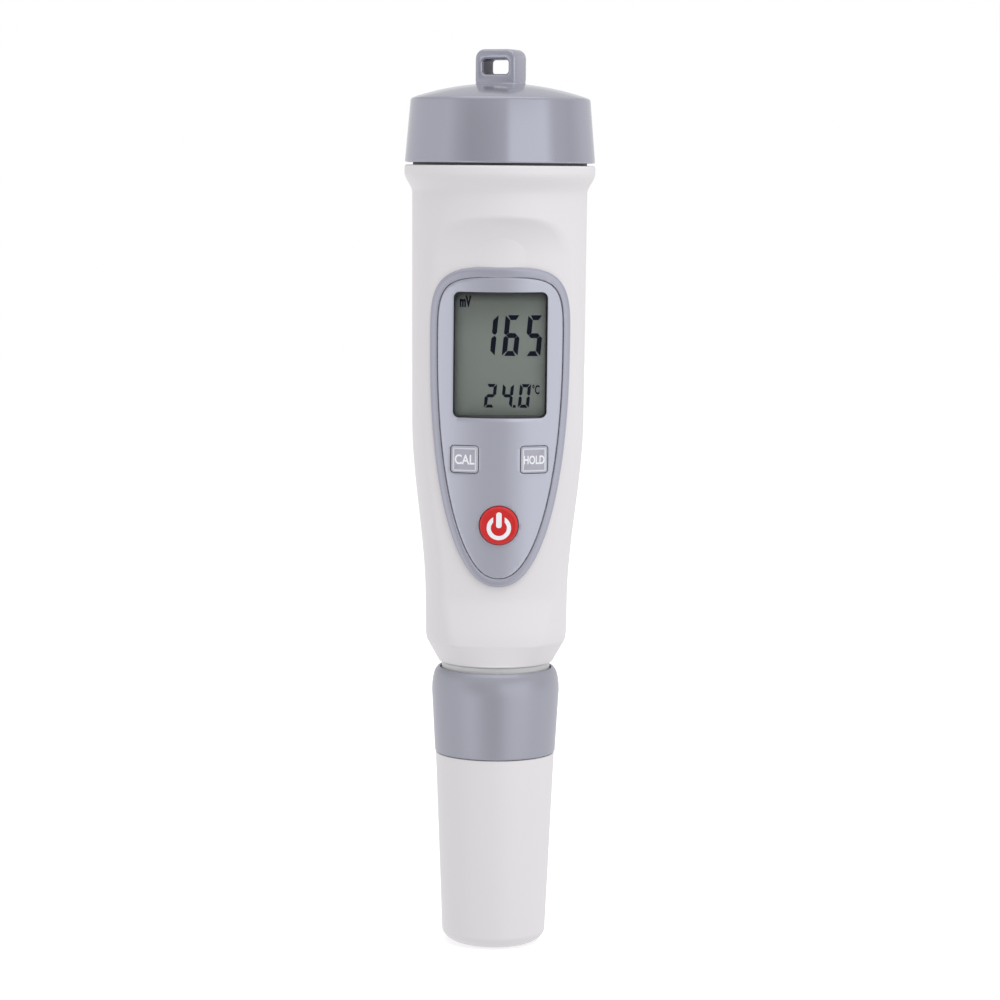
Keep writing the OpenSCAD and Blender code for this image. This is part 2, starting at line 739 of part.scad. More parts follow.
module ring_nut() color([0.63, 0.64, 0.69]) {
    round_z = nut_top_z - nut_shoulder_h;
    difference() {
        rotate_extrude() polygon(concat(
            [[0, nut_z], [nut_foot_r - 0.5, nut_z], [nut_foot_r - 0.15, nut_z + 0.15],
             [nut_foot_r, nut_z + 0.5], [nut_r - 0.1, round_z - 1.4]],
            [for (a = [0:12:72]) [rim_r + (nut_r - rim_r) * cos(a),
                                  round_z + (nut_shoulder_h - 0.25) * sin(a)]],
            [[rim_r, nut_top_z - 0.12], [rim_r - 0.15, nut_top_z], [0, nut_top_z]]));
        translate([0, 0, nut_z - 1]) cylinder(r = recess_r, h = ledge_z - nut_z + 1);
        translate([0, 0, nut_z - 1]) cylinder(r = ledge_r, h = nut_h + 2);
        translate([0, 0, ledge_z + ledge_h]) cylinder(r = nut_bore_r, h = nut_h);
        translate([0, 0, body_z - collar_seal_h - 0.3]) cylinder(r = rim_bore_r, h = nut_h);
    }
    ridge(nut_bore_r + 0.3, nut_crest_r, nut_pitch, female_turns, neck_z + 1.9 + nut_pitch / 2);
}

// ---- Probe ----

module probe_gasket() color([0.15, 0.15, 0.16])
    ring(neck_r - glue_gap, neck_bore_r + 0.1, neck_z - gasket_h - glue_gap, gasket_h);

module probe_body() color([0.16, 0.17, 0.19]) {
    shaft_r = shaft_d / 2;
    groove_r = o_ring_out_r - o_ring_d;
    slot_w = 4;
    difference() {
        rotate_extrude() polygon([
            [0, tip_z], [shaft_r - 0.5, tip_z], [shaft_r, tip_z + 0.5],
            [shaft_r, plug_bottom_z - (plug_r - shaft_r)], [plug_r, plug_bottom_z],
            [plug_r, o_ring_z - o_ring_d / 2 - 0.1], [groove_r, o_ring_z - o_ring_d / 2 - 0.1],
            [groove_r, o_ring_z + o_ring_d / 2 + 0.1], [plug_r, o_ring_z + o_ring_d / 2 + 0.1],
            [plug_r, probe_flange_z], [probe_flange_r, probe_flange_z],
            [probe_flange_r, probe_flange_z + probe_flange_h], [boss_r, probe_flange_z + probe_flange_h],
            [boss_r, boss_z], [0, boss_z]]);
        translate([0, 0, tip_z - 1]) cylinder(r = shaft_r - 1.1, h = guard_h + 1);
        for (a = [0, 90]) rotate([0, 0, a + 45]) translate([-shaft_r - 1, -slot_w / 2, tip_z - 1])
            cube([2 * shaft_r + 2, slot_w, guard_h * 0.75 + 1]);
        for (bore = [[0, stem_r], [junction_x, junction_r], [-junction_x, temp_r]])
            translate([bore[0], 0, bulkhead_z - 1])
                cylinder(r = bore[1] + glue_gap, h = bulkhead_h + 1, $fn = 48);
        at_pins() translate([0, 0, boss_z - 3]) cylinder(r = pin_d / 2 + glue_gap, h = 4, $fn = 32);
    }
}

module probe_pins() color([0.85, 0.72, 0.38])
    at_pins() translate([0, 0, boss_z - 3]) cylinder(r = pin_d / 2, h = pin_l + 3, $fn = 32);

module probe_o_ring() color([0.1, 0.1, 0.1]) translate([0, 0, o_ring_z]) rotate_extrude()
    translate([o_ring_out_r - o_ring_d / 2, 0]) circle(d = o_ring_d, $fn = 32);

module sensor_stem() color([0.75, 0.85, 0.88]) {
    translate([0, 0, tip_z + 1.4])
        cylinder(r = stem_r, h = bulkhead_z + bulkhead_h - tip_z - 1.4, $fn = 48);
    translate([0, 0, tip_z + 1.4]) sphere(r = stem_r - EPS, $fn = 48);
}

module platinum_band() color([0.85, 0.85, 0.83])
    ring(stem_r + band_t, stem_r, tip_z + 2, 2.4);

module reference_junction() color([0.93, 0.92, 0.88])
    translate([junction_x, 0, bulkhead_z - 0.8])
        cylinder(r = junction_r, h = bulkhead_h + 0.8, $fn = 48);

module temperature_pin() color([0.75, 0.76, 0.78]) translate([-junction_x, 0, 0]) {
    translate([0, 0, tip_z + 1.6])
        cylinder(r = temp_r, h = bulkhead_z + bulkhead_h - tip_z - 1.6, $fn = 48);
    translate([0, 0, tip_z + 1.6]) sphere(r = temp_r - EPS, $fn = 48);
}

// ---- Storage cap ----

function store_side(z) = store_r - store_taper * (store_h - z) / store_h;

module protective_cap() color([0.88, 0.87, 0.88]) {
    foot_r = store_side(foot_round_h);
    inner_foot_r = store_side(floor_z) - store_wall;
    difference() {
        rotate_extrude() polygon(concat([[0, 0]],
            [for (a = [-90:10:0]) [foot_r - foot_round_w + foot_round_w * cos(a),
                                   foot_round_h + foot_round_h * sin(a)]],
            [[store_r, store_h - 0.2], [store_r - 0.2, store_h], [spigot_r, store_h],
             [spigot_r, store_h + spigot_h], [0, store_h + spigot_h]]));
        rotate_extrude() polygon([
            [0, floor_z], [inner_foot_r - 1.5, floor_z], [inner_foot_r, floor_z + 1.5],
            [store_side(store_h - 4) - store_wall, store_h - 4], [spigot_in_r, store_h - 1.5],
            [spigot_in_r, store_h + spigot_h + 1], [0, store_h + spigot_h + 1]]);
    }
}

module storage_sponge() color([0.93, 0.88, 0.62]) {
    r = store_side(floor_z) - store_wall - 1.6;
    translate([0, 0, floor_z + glue_gap]) cylinder(r = r, h = sponge_h);
}

// ---- Nodes ----

housing();
battery_cap();
cap_gasket();
contact_disc();
contact_spring();
battery_holder();
top_contact();
bottom_contact();
for (i = [0:cells - 1]) button_cell(i);
battery_lead_red();
battery_lead_black();
bezel();
faceplate();
display_window();
lcd_glass();
lcd_frame();
zebra_strips();
frame_screws();
main_board();
mcu_chip();
amplifier_chip();
crystal();
capacitors();
key_switch(-key_x, key_row);  // cal_switch
key_switch(key_x, key_row);  // hold_switch
key_switch(0, power_row);  // power_switch
keypad_membrane();
square_key(-key_x);  // cal_key
square_key(key_x);  // hold_key
power_key();
probe_socket();
socket_contacts();
probe_leads();
collar_seal();
ring_nut();
probe_gasket();
probe_body();
probe_pins();
probe_o_ring();
sensor_stem();
platinum_band();
reference_junction();
temperature_pin();
protective_cap();
storage_sponge();
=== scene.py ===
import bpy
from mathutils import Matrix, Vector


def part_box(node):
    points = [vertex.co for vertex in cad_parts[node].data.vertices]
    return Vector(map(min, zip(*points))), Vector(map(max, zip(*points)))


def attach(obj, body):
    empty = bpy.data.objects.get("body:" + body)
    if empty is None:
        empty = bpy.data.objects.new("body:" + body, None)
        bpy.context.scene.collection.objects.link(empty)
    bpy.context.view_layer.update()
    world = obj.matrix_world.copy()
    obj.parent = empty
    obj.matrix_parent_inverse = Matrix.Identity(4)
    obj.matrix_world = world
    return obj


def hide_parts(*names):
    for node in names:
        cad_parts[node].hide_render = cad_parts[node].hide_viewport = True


bl_info = {
    "name": "Water tester",
    "version": (1, 0, 0),
    "blender": (4, 5, 0),
    "location": "3D View > Sidebar > Water tester",
    "description": "Finished pieces, materials and a stage for a pen-type water tester",
    "category": "Object",
}

from math import atan2, ceil, cos, degrees, hypot, pi, radians, sin, sqrt, tan
import bmesh
import bpy
import numpy as np
from bpy.props import FloatProperty, FloatVectorProperty, IntProperty, PointerProperty, StringProperty
from mathutils import Euler, Matrix, Vector

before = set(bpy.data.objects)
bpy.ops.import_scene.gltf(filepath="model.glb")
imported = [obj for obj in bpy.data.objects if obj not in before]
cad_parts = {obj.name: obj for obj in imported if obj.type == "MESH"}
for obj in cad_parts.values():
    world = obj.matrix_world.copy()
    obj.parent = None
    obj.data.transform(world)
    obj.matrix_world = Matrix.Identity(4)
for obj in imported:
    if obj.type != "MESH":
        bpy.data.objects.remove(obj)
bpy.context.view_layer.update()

# Lengths below are in millimetres, and become metres where a mesh is made.
MM = 0.001


def edge(node, side, axis):
    """One side (0 low, 1 high) of a node's box along an axis, in millimetres."""
    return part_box(node)[side][axis] / MM


# Heights and radii of the frame's own pieces
NECK_Z = edge("housing", 0, 2)
TOP_NECK_Z = edge("housing", 1, 2)
BODY_Z = edge("collar_seal", 1, 2) + 0.05
CAP_Z = edge("battery_cap", 0, 2)
FLANGE_Z = CAP_Z - 0.5
FLANGE_R = edge("housing", 1, 0)
BODY_R = FLANGE_R - 1.65
TOP_NECK_R = BODY_R - 2.6
NUT_Z = edge("ring_nut", 0, 2)
NUT_TOP_Z = edge("ring_nut", 1, 2)
NUT_R = edge("ring_nut", 1, 0)
STORE_Z = NUT_Z - 0.1
STORE_R = edge("protective_cap", 1, 0)
SPIGOT_Z = edge("protective_cap", 1, 2)
NECK_BORE_R = edge("probe_socket", 1, 0) + 0.05
NECK_R = NECK_BORE_R + 1.6
WAIST_R = edge("collar_seal", 1, 0) + 0.57 + 2.88

# The convex front that carries the panel: a cylinder about an upright axis, tilted back
TILT = radians(2.8)
FRONT_R = 31.0
WINDOW_W = edge("display_window", 1, 0) - edge("display_window", 0, 0) + 0.1
WINDOW_H = (edge("display_window", 1, 2) - edge("display_window", 0, 2)) / cos(TILT)
WINDOW_Z = (edge("display_window", 1, 2) + edge("display_window", 0, 2)) / 2
FRONT_Y = edge("display_window", 0, 1) + 0.1 * cos(TILT) + WINDOW_H / 2 * sin(TILT)
PANEL_HALF = edge("bezel", 1, 0)
PANEL_TOP = WINDOW_H / 2 + 5.15
KEY_X = (edge("hold_key", 1, 0) + edge("hold_key", 0, 0)) / 2
KEY_ROW = ((edge("hold_key", 1, 2) + edge("hold_key", 0, 2)) / 2 - WINDOW_Z) / cos(TILT)
POWER_ROW = KEY_ROW - 13.8
PANEL_TIP = POWER_ROW - 13.1
PANEL_MID = 3.0
COVE_BOTTOM = PANEL_TOP + 1.8
COVE_H = 8.6
COVE_D = BODY_R + FRONT_Y - COVE_BOTTOM * sin(TILT) + 0.35
SCOOP_BOTTOM = PANEL_TIP - 3
WALL = 2.0


# ---- Working with meshes ----

def clear():
    """Leaves edit mode and selects nothing."""
    if bpy.context.object and bpy.context.object.mode != "OBJECT":
        bpy.ops.object.mode_set(mode="OBJECT")
    bpy.ops.object.select_all(action="DESELECT")


def pick(piece):
    """Makes a piece the only selected and the active one."""
    clear()
    piece.select_set(True)
    bpy.context.view_layer.objects.active = piece
    return piece


def edit(piece, select="SELECT"):
    """Goes into edit mode on a piece with all or nothing selected."""
    pick(piece)
    bpy.ops.object.mode_set(mode="EDIT")
    bpy.ops.mesh.select_mode(type="VERT")
    bpy.ops.mesh.select_all(action=select)


def select_faces(piece, wanted):
    """In edit mode, selects the faces that a test accepts."""
    bpy.ops.mesh.select_mode(type="FACE")
    bpy.ops.mesh.select_all(action="DESELECT")
    mesh = bmesh.from_edit_mesh(piece.data)
    for face in mesh.faces:
        if wanted(face):
            face.select_set(True)
    bmesh.update_edit_mesh(piece.data)


def drawn(name, points):
    """A line of edges drawn from point to point, left in edit mode. Points are in millimetres."""
    clear()
    bpy.ops.mesh.primitive_plane_add(size=MM)
    piece = bpy.context.object
    piece.name = piece.data.name = name
    bpy.ops.object.mode_set(mode="EDIT")
    bpy.ops.mesh.select_mode(type="VERT")
    bpy.ops.mesh.select_all(action="SELECT")
    bpy.ops.mesh.merge(type="CENTER")
    points = [Vector(p) * MM for p in points]
    bpy.ops.transform.translate(value=points[0])
    for a, b in zip(points, points[1:]):
        bpy.ops.mesh.extrude_vertices_move(TRANSFORM_OT_translate={"value": b - a})
    bpy.ops.mesh.select_all(action="SELECT")
    bpy.ops.mesh.remove_doubles(threshold=1e-7)
    return piece


def softened(corners, closed=False, step=18):
    """A path through (u, v) or (u, v, radius) corners, with an arc at each corner that has a radius."""
    path, n = [], len(corners)
    for i, corner in enumerate(corners):
        p = Vector(corner[:2])
        inner = closed or 0 < i < n - 1
        if len(corner) < 3 or not inner:
            path.append(tuple(p))
            continue
        a, b = Vector(corners[i - 1][:2]) - p, Vector(corners[(i + 1) % n][:2]) - p
        half = a.angle(b) / 2
        if half > radians(88):
            path.append(tuple(p))
            continue
        reach = min(corner[2] / tan(half), 0.48 * a.length, 0.48 * b.length)
        radius = reach * tan(half)
        centre = p + (a.normalized() + b.normalized()).normalized() * (radius / sin(half))
        start, end = p + a.normalized() * reach - centre, p + b.normalized() * reach - centre
        turn = start.angle(end)
        count = max(2, ceil(degrees(turn) / step))
        for k in range(count + 1):
            t = k / count
            q = (start * sin((1 - t) * turn) + end * sin(t * turn)) / sin(turn)
            path.append(tuple(centre + q))
    return path


def turned(name, path, steps=96):
    """A solid turned round the upright axis from a half-section, closed on itself or ending on the axis."""
    if min(path[0][0], path[-1][0]) > 1e-6:
        path = [*path, path[0]]
    piece = drawn(name, [(r, 0, z) for r, z in path])
    bpy.ops.mesh.spin(steps=steps, angle=2 * pi, center=(0, 0, 0), axis=(0, 0, 1))
    bpy.ops.mesh.select_all(action="SELECT")
    bpy.ops.mesh.remove_doubles(threshold=2e-6)
    bpy.ops.mesh.normals_make_consistent(inside=False)
    clear()
    return piece


def apply_modifier(piece, kind, **settings):
    """Adds a modifier with these settings and applies it."""
    pick(piece)
    modifier = piece.modifiers.new(kind.title(), kind)
    for key, value in settings.items():
        setattr(modifier, key, value)
    bpy.ops.object.modifier_apply(modifier=modifier.name)
    return piece


def bevelled(piece, width, segments=3, angle=40):
    """Rounds the edges sharper than an angle."""
    return apply_modifier(piece, "BEVEL", width=width * MM, segments=segments, limit_method="ANGLE",
                          angle_limit=radians(angle), use_clamp_overlap=True, harden_normals=False)


def combine(piece, other, operation="DIFFERENCE"):
    """Cuts a piece with another, or joins the two into one solid, and removes the other."""
    apply_modifier(piece, "BOOLEAN", object=other, operation=operation, solver="MANIFOLD")
    bpy.data.objects.remove(other)
    return piece


def joined(pieces):
    """Several pieces as one object that keeps the first one's name."""
    pick(pieces[0])
    for piece in pieces[1:]:
        piece.select_set(True)
    bpy.ops.object.join()
    return bpy.context.object


def block(name, size, centre, rounding=0, axis=None):
    """A box with rounded edges, or with only the edges along one axis rounded."""
    clear()
    bpy.ops.mesh.primitive_cube_add(size=MM)
    piece = bpy.context.object
    piece.name = piece.data.name = name
    bpy.ops.object.mode_set(mode="EDIT")
    bpy.ops.transform.resize(value=size)
    bpy.ops.transform.translate(value=Vector(centre) * MM)
    if rounding:
        if axis is not None:
            bpy.ops.mesh.select_mode(type="EDGE")
            bpy.ops.mesh.select_all(action="DESELECT")
            mesh = bmesh.from_edit_mesh(piece.data)
            for line in mesh.edges:
                along = (line.verts[0].co - line.verts[1].co).normalized()
                if abs(along[axis]) > 0.9:
                    line.select_set(True)
            bmesh.update_edit_mesh(piece.data)
        bpy.ops.mesh.bevel(offset=rounding * MM, segments=5, affect="EDGES")
    clear()
    return piece


def rod(name, radius, depth, centre, axis=2, sides=48):
    """A plain round bar, used as a cutter or as the start of a piece."""
    clear()
    bpy.ops.mesh.primitive_cylinder_add(vertices=sides, radius=radius * MM, depth=depth * MM)
    piece = bpy.context.object
    piece.name = piece.data.name = name
    if axis == 1:
        piece.rotation_euler.x = pi / 2
    if axis == 0:
        piece.rotation_euler.y = pi / 2
    piece.location = Vector(centre) * MM
    settle(piece)
    return piece


def settle(piece):
    """Puts a piece's place into its mesh."""
    pick(piece)
    bpy.ops.object.transform_apply(location=True, rotation=True, scale=True)
    return piece


def mend(piece):
    """Merges doubles and turns every face outwards."""
    edit(piece)
    bpy.ops.mesh.remove_doubles(threshold=1e-6)
    bpy.ops.mesh.normals_make_consistent(inside=False)
    clear()
    return piece


def each_point(piece, move):
    """Moves every vertex of a piece by a rule on its place in millimetres."""
    for vertex in piece.data.vertices:
        vertex.co = Vector(move(*(vertex.co / MM))) * MM
    piece.data.update()
    return piece


def drop(x, level):
    """How far the convex front has dropped back at x, at a level measured out from the panel's face."""
    return FRONT_R - sqrt((FRONT_R + level) ** 2 - x * x)


def sliced(piece, reach, step, centre=0.0, levels=()):
    """Cuts a flat piece into upright strips and at some levels, so that it can be bent round the front."""
    edit(piece)
    bpy.ops.mesh.quads_convert_to_tris(quad_method="BEAUTY", ngon_method="BEAUTY")
    count = int(reach / step)
    for i in range(-count, count + 1):
        bpy.ops.mesh.select_all(action="SELECT")
        bpy.ops.mesh.bisect(plane_co=((centre + i * step) * MM, 0, 0), plane_no=(1, 0, 0))
    for level in levels:
        bpy.ops.mesh.select_all(action="SELECT")
        bpy.ops.mesh.bisect(plane_co=(0, 0, level * MM), plane_no=(0, 0, 1))
    clear()
    return piece


def on_front(piece, bend=True):
    """Takes a piece from the panel's own plane, where -y stands out of it, to its place on the front."""
    if bend:
        each_point(piece, lambda x, y, z: (x, drop(x, -y), z))
    piece.rotation_euler.x = TILT
    piece.location = (0, FRONT_Y * MM, WINDOW_Z * MM)
    return settle(piece)


def helix(name, root, crest, pitch, turns, z, steps=40, fade=30):
    """A screw thread's ridge with tapered ends, its root sunk in the wall that carries it."""
    side = 1 if crest > root else -1
    wide, narrow = 0.21 * pitch, 0.11 * pitch
    section = [(root, 0, z - wide), (crest, 0, z - narrow), (crest, 0, z + narrow), (root, 0, z + wide),
               (root, 0, z - wide)]
    piece = drawn(name, section)
    clear()
    apply_modifier(piece, "SCREW", angle=2 * pi * turns, screw_offset=pitch * turns * MM, iterations=1,
                   steps=int(steps * turns), render_steps=int(steps * turns), axis="Z",
                   use_merge_vertices=False)

    def taper(x, y, h):
        r = hypot(x, y)
        off = h - z
        angle = atan2(y, x) % (2 * pi)
        lap = round(off / pitch - angle / (2 * pi))
        along = degrees(angle) + 360 * lap
        share = min(1, max(0.02, along / fade), max(0.02, (360 * turns - along) / fade))
        if side * (r - (root + crest) / 2) > 0:
            grown = root + (crest - root) * share
            return x * grown / r, y * grown / r, h
        return x, y, h

    each_point(piece, taper)
    edit(piece)
    bpy.ops.mesh.fill_holes(sides=8)
    bpy.ops.mesh.select_all(action="SELECT")
    bpy.ops.mesh.normals_make_consistent(inside=False)
    clear()
    return piece


def done(piece, body, material, stands_for=(), angle=35):
    """Shades a finished piece, gives it a material unless it has its own, and lets it ride on its body."""
    pick(piece)
    bpy.ops.object.shade_smooth_by_angle(angle=radians(angle))
    if material:
        piece.data.materials.clear()
        piece.data.materials.append(material)
    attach(piece, body)
    if stands_for:
        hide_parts(*stands_for)
    clear()
    return piece


# ---- Materials ----

def new_group(name, inputs, outputs):
    """An empty shader node group with named sockets."""
    group = bpy.data.node_groups.new(name, "ShaderNodeTree")
    for label, kind, default in inputs:
        socket = group.interface.new_socket(label, in_out="INPUT", socket_type=kind)
        socket.default_value = default
    for label, kind in outputs:
        group.interface.new_socket(label, in_out="OUTPUT", socket_type=kind)
    return group, group.nodes.new("NodeGroupInput"), group.nodes.new("NodeGroupOutput")


def grain_group():
    """Fine texture of a moulded or cast skin: a height, and a mask for roughness."""
    group, start, end = new_group(
        "Skin grain",
        [("Grains per mm", "NodeSocketFloat", 3.0), ("Softness", "NodeSocketFloat", 0.5),
         ("Roughness", "NodeSocketFloat", 0.4), ("Spread", "NodeSocketFloat", 0.06)],
        [("Height", "NodeSocketFloat"), ("Roughness", "NodeSocketFloat")])
    nodes, links = group.nodes, group.links
    place = nodes.new("ShaderNodeTexCoord")
    scale = nodes.new("ShaderNodeMath")
    scale.operation = "MULTIPLY"
    scale.inputs[1].default_value = 1000
    noise = nodes.new("ShaderNodeTexNoise")
    noise.inputs["Detail"].default_value = 3
    links.new(start.outputs["Grains per mm"], scale.inputs[0])
    links.new(place.outputs["Object"], noise.inputs["Vector"])
    links.new(scale.outputs[0], noise.inputs["Scale"])
    links.new(start.outputs["Softness"], noise.inputs["Roughness"])
    links.new(noise.outputs["Fac"], end.inputs["Height"])
    smear = nodes.new("ShaderNodeTexNoise")
    smear.inputs["Scale"].default_value = 90
    smear.inputs["Detail"].default_value = 4
    links.new(place.outputs["Object"], smear.inputs["Vector"])
    centred = nodes.new("ShaderNodeMath")
    centred.operation = "SUBTRACT"
    centred.inputs[1].default_value = 0.5
    links.new(smear.outputs["Fac"], centred.inputs[0])
    spread = nodes.new("ShaderNodeMath")
    spread.operation = "MULTIPLY_ADD"
    links.new(centred.outputs[0], spread.inputs[0])
    links.new(start.outputs["Spread"], spread.inputs[1])
    links.new(start.outputs["Roughness"], spread.inputs[2])
    links.new(spread.outputs[0], end.inputs["Roughness"])
    return group


def tone_group():
    """A colour with slow drifts of tone and paler edges, as handling and moulding leave."""
    group, start, end = new_group(
        "Tone and edges",
        [("Colour", "NodeSocketColor", (0.5, 0.5, 0.5, 1)), ("Drift", "NodeSocketFloat", 0.04),
         ("Patches per mm", "NodeSocketFloat", 0.05), ("Edge", "NodeSocketFloat", 0.1)],
        [("Colour", "NodeSocketColor")])
    nodes, links = group.nodes, group.links
    place = nodes.new("ShaderNodeTexCoord")
    scale = nodes.new("ShaderNodeMath")
    scale.operation = "MULTIPLY"
    scale.inputs[1].default_value = 1000
    noise = nodes.new("ShaderNodeTexNoise")
    noise.inputs["Detail"].default_value = 2
    links.new(start.outputs["Patches per mm"], scale.inputs[0])
    links.new(place.outputs["Object"], noise.inputs["Vector"])
    links.new(scale.outputs[0], noise.inputs["Scale"])
    darker = nodes.new("ShaderNodeMath")
    darker.operation = "MULTIPLY"
    links.new(noise.outputs["Fac"], darker.inputs[0])
    links.new(start.outputs["Drift"], darker.inputs[1])
    shade = nodes.new("ShaderNodeMix")
    shade.data_type = "RGBA"
    shade.inputs["B"].default_value = (0, 0, 0, 1)
    links.new(darker.outputs[0], shade.inputs["Factor"])
    links.new(start.outputs["Colour"], shade.inputs["A"])
    shape = nodes.new("ShaderNodeNewGeometry")
    ramp = nodes.new("ShaderNodeMapRange")
    ramp.inputs["From Min"].default_value = 0.52
    ramp.inputs["From Max"].default_value = 0.62
    links.new(shape.outputs["Pointiness"], ramp.inputs["Value"])
    amount = nodes.new("ShaderNodeMath")
    amount.operation = "MULTIPLY"
    links.new(ramp.outputs["Result"], amount.inputs[0])
    links.new(start.outputs["Edge"], amount.inputs[1])
    pale = nodes.new("ShaderNodeMix")
    pale.data_type = "RGBA"
    pale.inputs["B"].default_value = (1, 1, 1, 1)
    links.new(amount.outputs[0], pale.inputs["Factor"])
    links.new(shade.outputs["Result"], pale.inputs["A"])
    links.new(pale.outputs["Result"], end.inputs["Colour"])
    return group


def surface(name, colour, roughness=0.4, grains=3.0, bump=0.02, drift=0.05, patches=0.05, edges=0.1,
            spread=0.06, **sockets):
    """A material of one finish: its tone, its grain, and plain shader values for the rest."""
    material = bpy.data.materials.new(name)
    material.use_nodes = True
    nodes, links = material.node_tree.nodes, material.node_tree.links
    shader = nodes["Principled BSDF"]
    for label, value in sockets.items():
        shader.inputs[label.replace("_", " ").title().replace("Ior", "IOR")].default_value = value
    tone = nodes.new("ShaderNodeGroup")
    tone.node_tree = bpy.data.node_groups.get("Tone and edges") or tone_group()
    tone.inputs["Colour"].default_value = (*colour, 1)
    tone.inputs["Drift"].default_value = drift
    tone.inputs["Patches per mm"].default_value = patches
    tone.inputs["Edge"].default_value = edges
    links.new(tone.outputs["Colour"], shader.inputs["Base Color"])
    grain = nodes.new("ShaderNodeGroup")
    grain.node_tree = bpy.data.node_groups.get("Skin grain") or grain_group()
    grain.inputs["Grains per mm"].default_value = grains
    grain.inputs["Roughness"].default_value = roughness
    grain.inputs["Spread"].default_value = spread
    links.new(grain.outputs["Roughness"], shader.inputs["Roughness"])
    lift = nodes.new("ShaderNodeBump")
    lift.inputs["Strength"].default_value = 1
    lift.inputs["Distance"].default_value = bump * MM
    links.new(grain.outputs["Height"], lift.inputs["Height"])
    links.new(lift.outputs["Normal"], shader.inputs["Normal"])
    return material


def recess_group():
    """A colour that darkens towards the top and the left of the display, where its recess shades it."""
    group, start, end = new_group(
        "Recess shade",
        [("Colour", "NodeSocketColor", (0.5, 0.5, 0.5, 1)), ("Depth", "NodeSocketFloat", 0.5)],
        [("Colour", "NodeSocketColor")])
    nodes, links = group.nodes, group.links
    place = nodes.new("ShaderNodeTexCoord")
    parts = nodes.new("ShaderNodeSeparateXYZ")
    links.new(place.outputs["Object"], parts.inputs[0])
    shades = []
    for axis, inner, outer, share in RECESS_EDGES:
        ramp = nodes.new("ShaderNodeMapRange")
        ramp.inputs["From Min"].default_value = inner * MM
        ramp.inputs["From Max"].default_value = outer * MM
        ramp.inputs["To Max"].default_value = share
        links.new(parts.outputs[axis], ramp.inputs["Value"])
        shades.append(ramp.outputs["Result"])
    total = shades[0]
    for shade in shades[1:]:
        both = nodes.new("ShaderNodeMath")
        both.operation = "ADD"
        both.use_clamp = True
        links.new(total, both.inputs[0])
        links.new(shade, both.inputs[1])
        total = both.outputs[0]
    depth = nodes.new("ShaderNodeMath")
    depth.operation = "MULTIPLY"
    links.new(total, depth.inputs[0])
    links.new(start.outputs["Depth"], depth.inputs[1])
    mix = nodes.new("ShaderNodeMix")
    mix.data_type = "RGBA"
    mix.inputs["B"].default_value = (0, 0, 0, 1)
    links.new(depth.outputs[0], mix.inputs["Factor"])
    links.new(start.outputs["Colour"], mix.inputs["A"])
    links.new(mix.outputs["Result"], end.inputs["Colour"])
    return group


# Where the recess shades the display: axis, where the shade starts and ends, and its share
RECESS_EDGES = [
    ("Z", WINDOW_Z + WINDOW_H / 2 - 9, WINDOW_Z + WINDOW_H / 2 - 1, 0.2),
    ("Z", WINDOW_Z + WINDOW_H / 2 - 2.2, WINDOW_Z + WINDOW_H / 2 - 0.2, 0.75),
    ("X", -WINDOW_W / 2 + 2.2, -WINDOW_W / 2 + 0.6, 0.25), ("X", -WINDOW_W / 2 + 1.2, -WINDOW_W / 2, 0.5),
]


def shaded_glass(name):
    """The display's glass, with the shade of its recess between its tone and its shader."""
    material = surface(name, chosen().display.colour, 0.35, 12, 0.001, 0.12, 0.04, 0, specular_ior_level=0.2)
    nodes, links = material.node_tree.nodes, material.node_tree.links
    shader = nodes["Principled BSDF"]
    tone = shader.inputs["Base Color"].links[0].from_socket
    shade = nodes.new("ShaderNodeGroup")
    shade.node_tree = recess_group()
    shade.inputs["Depth"].default_value = 0.75
    links.new(tone, shade.inputs["Colour"])
    links.new(shade.outputs["Colour"], shader.inputs["Base Color"])
    return material


def finish_of(name):
    """The material with this name, made the first time that it is asked for."""
    return bpy.data.materials.get(name) or FINISHES[name](name)


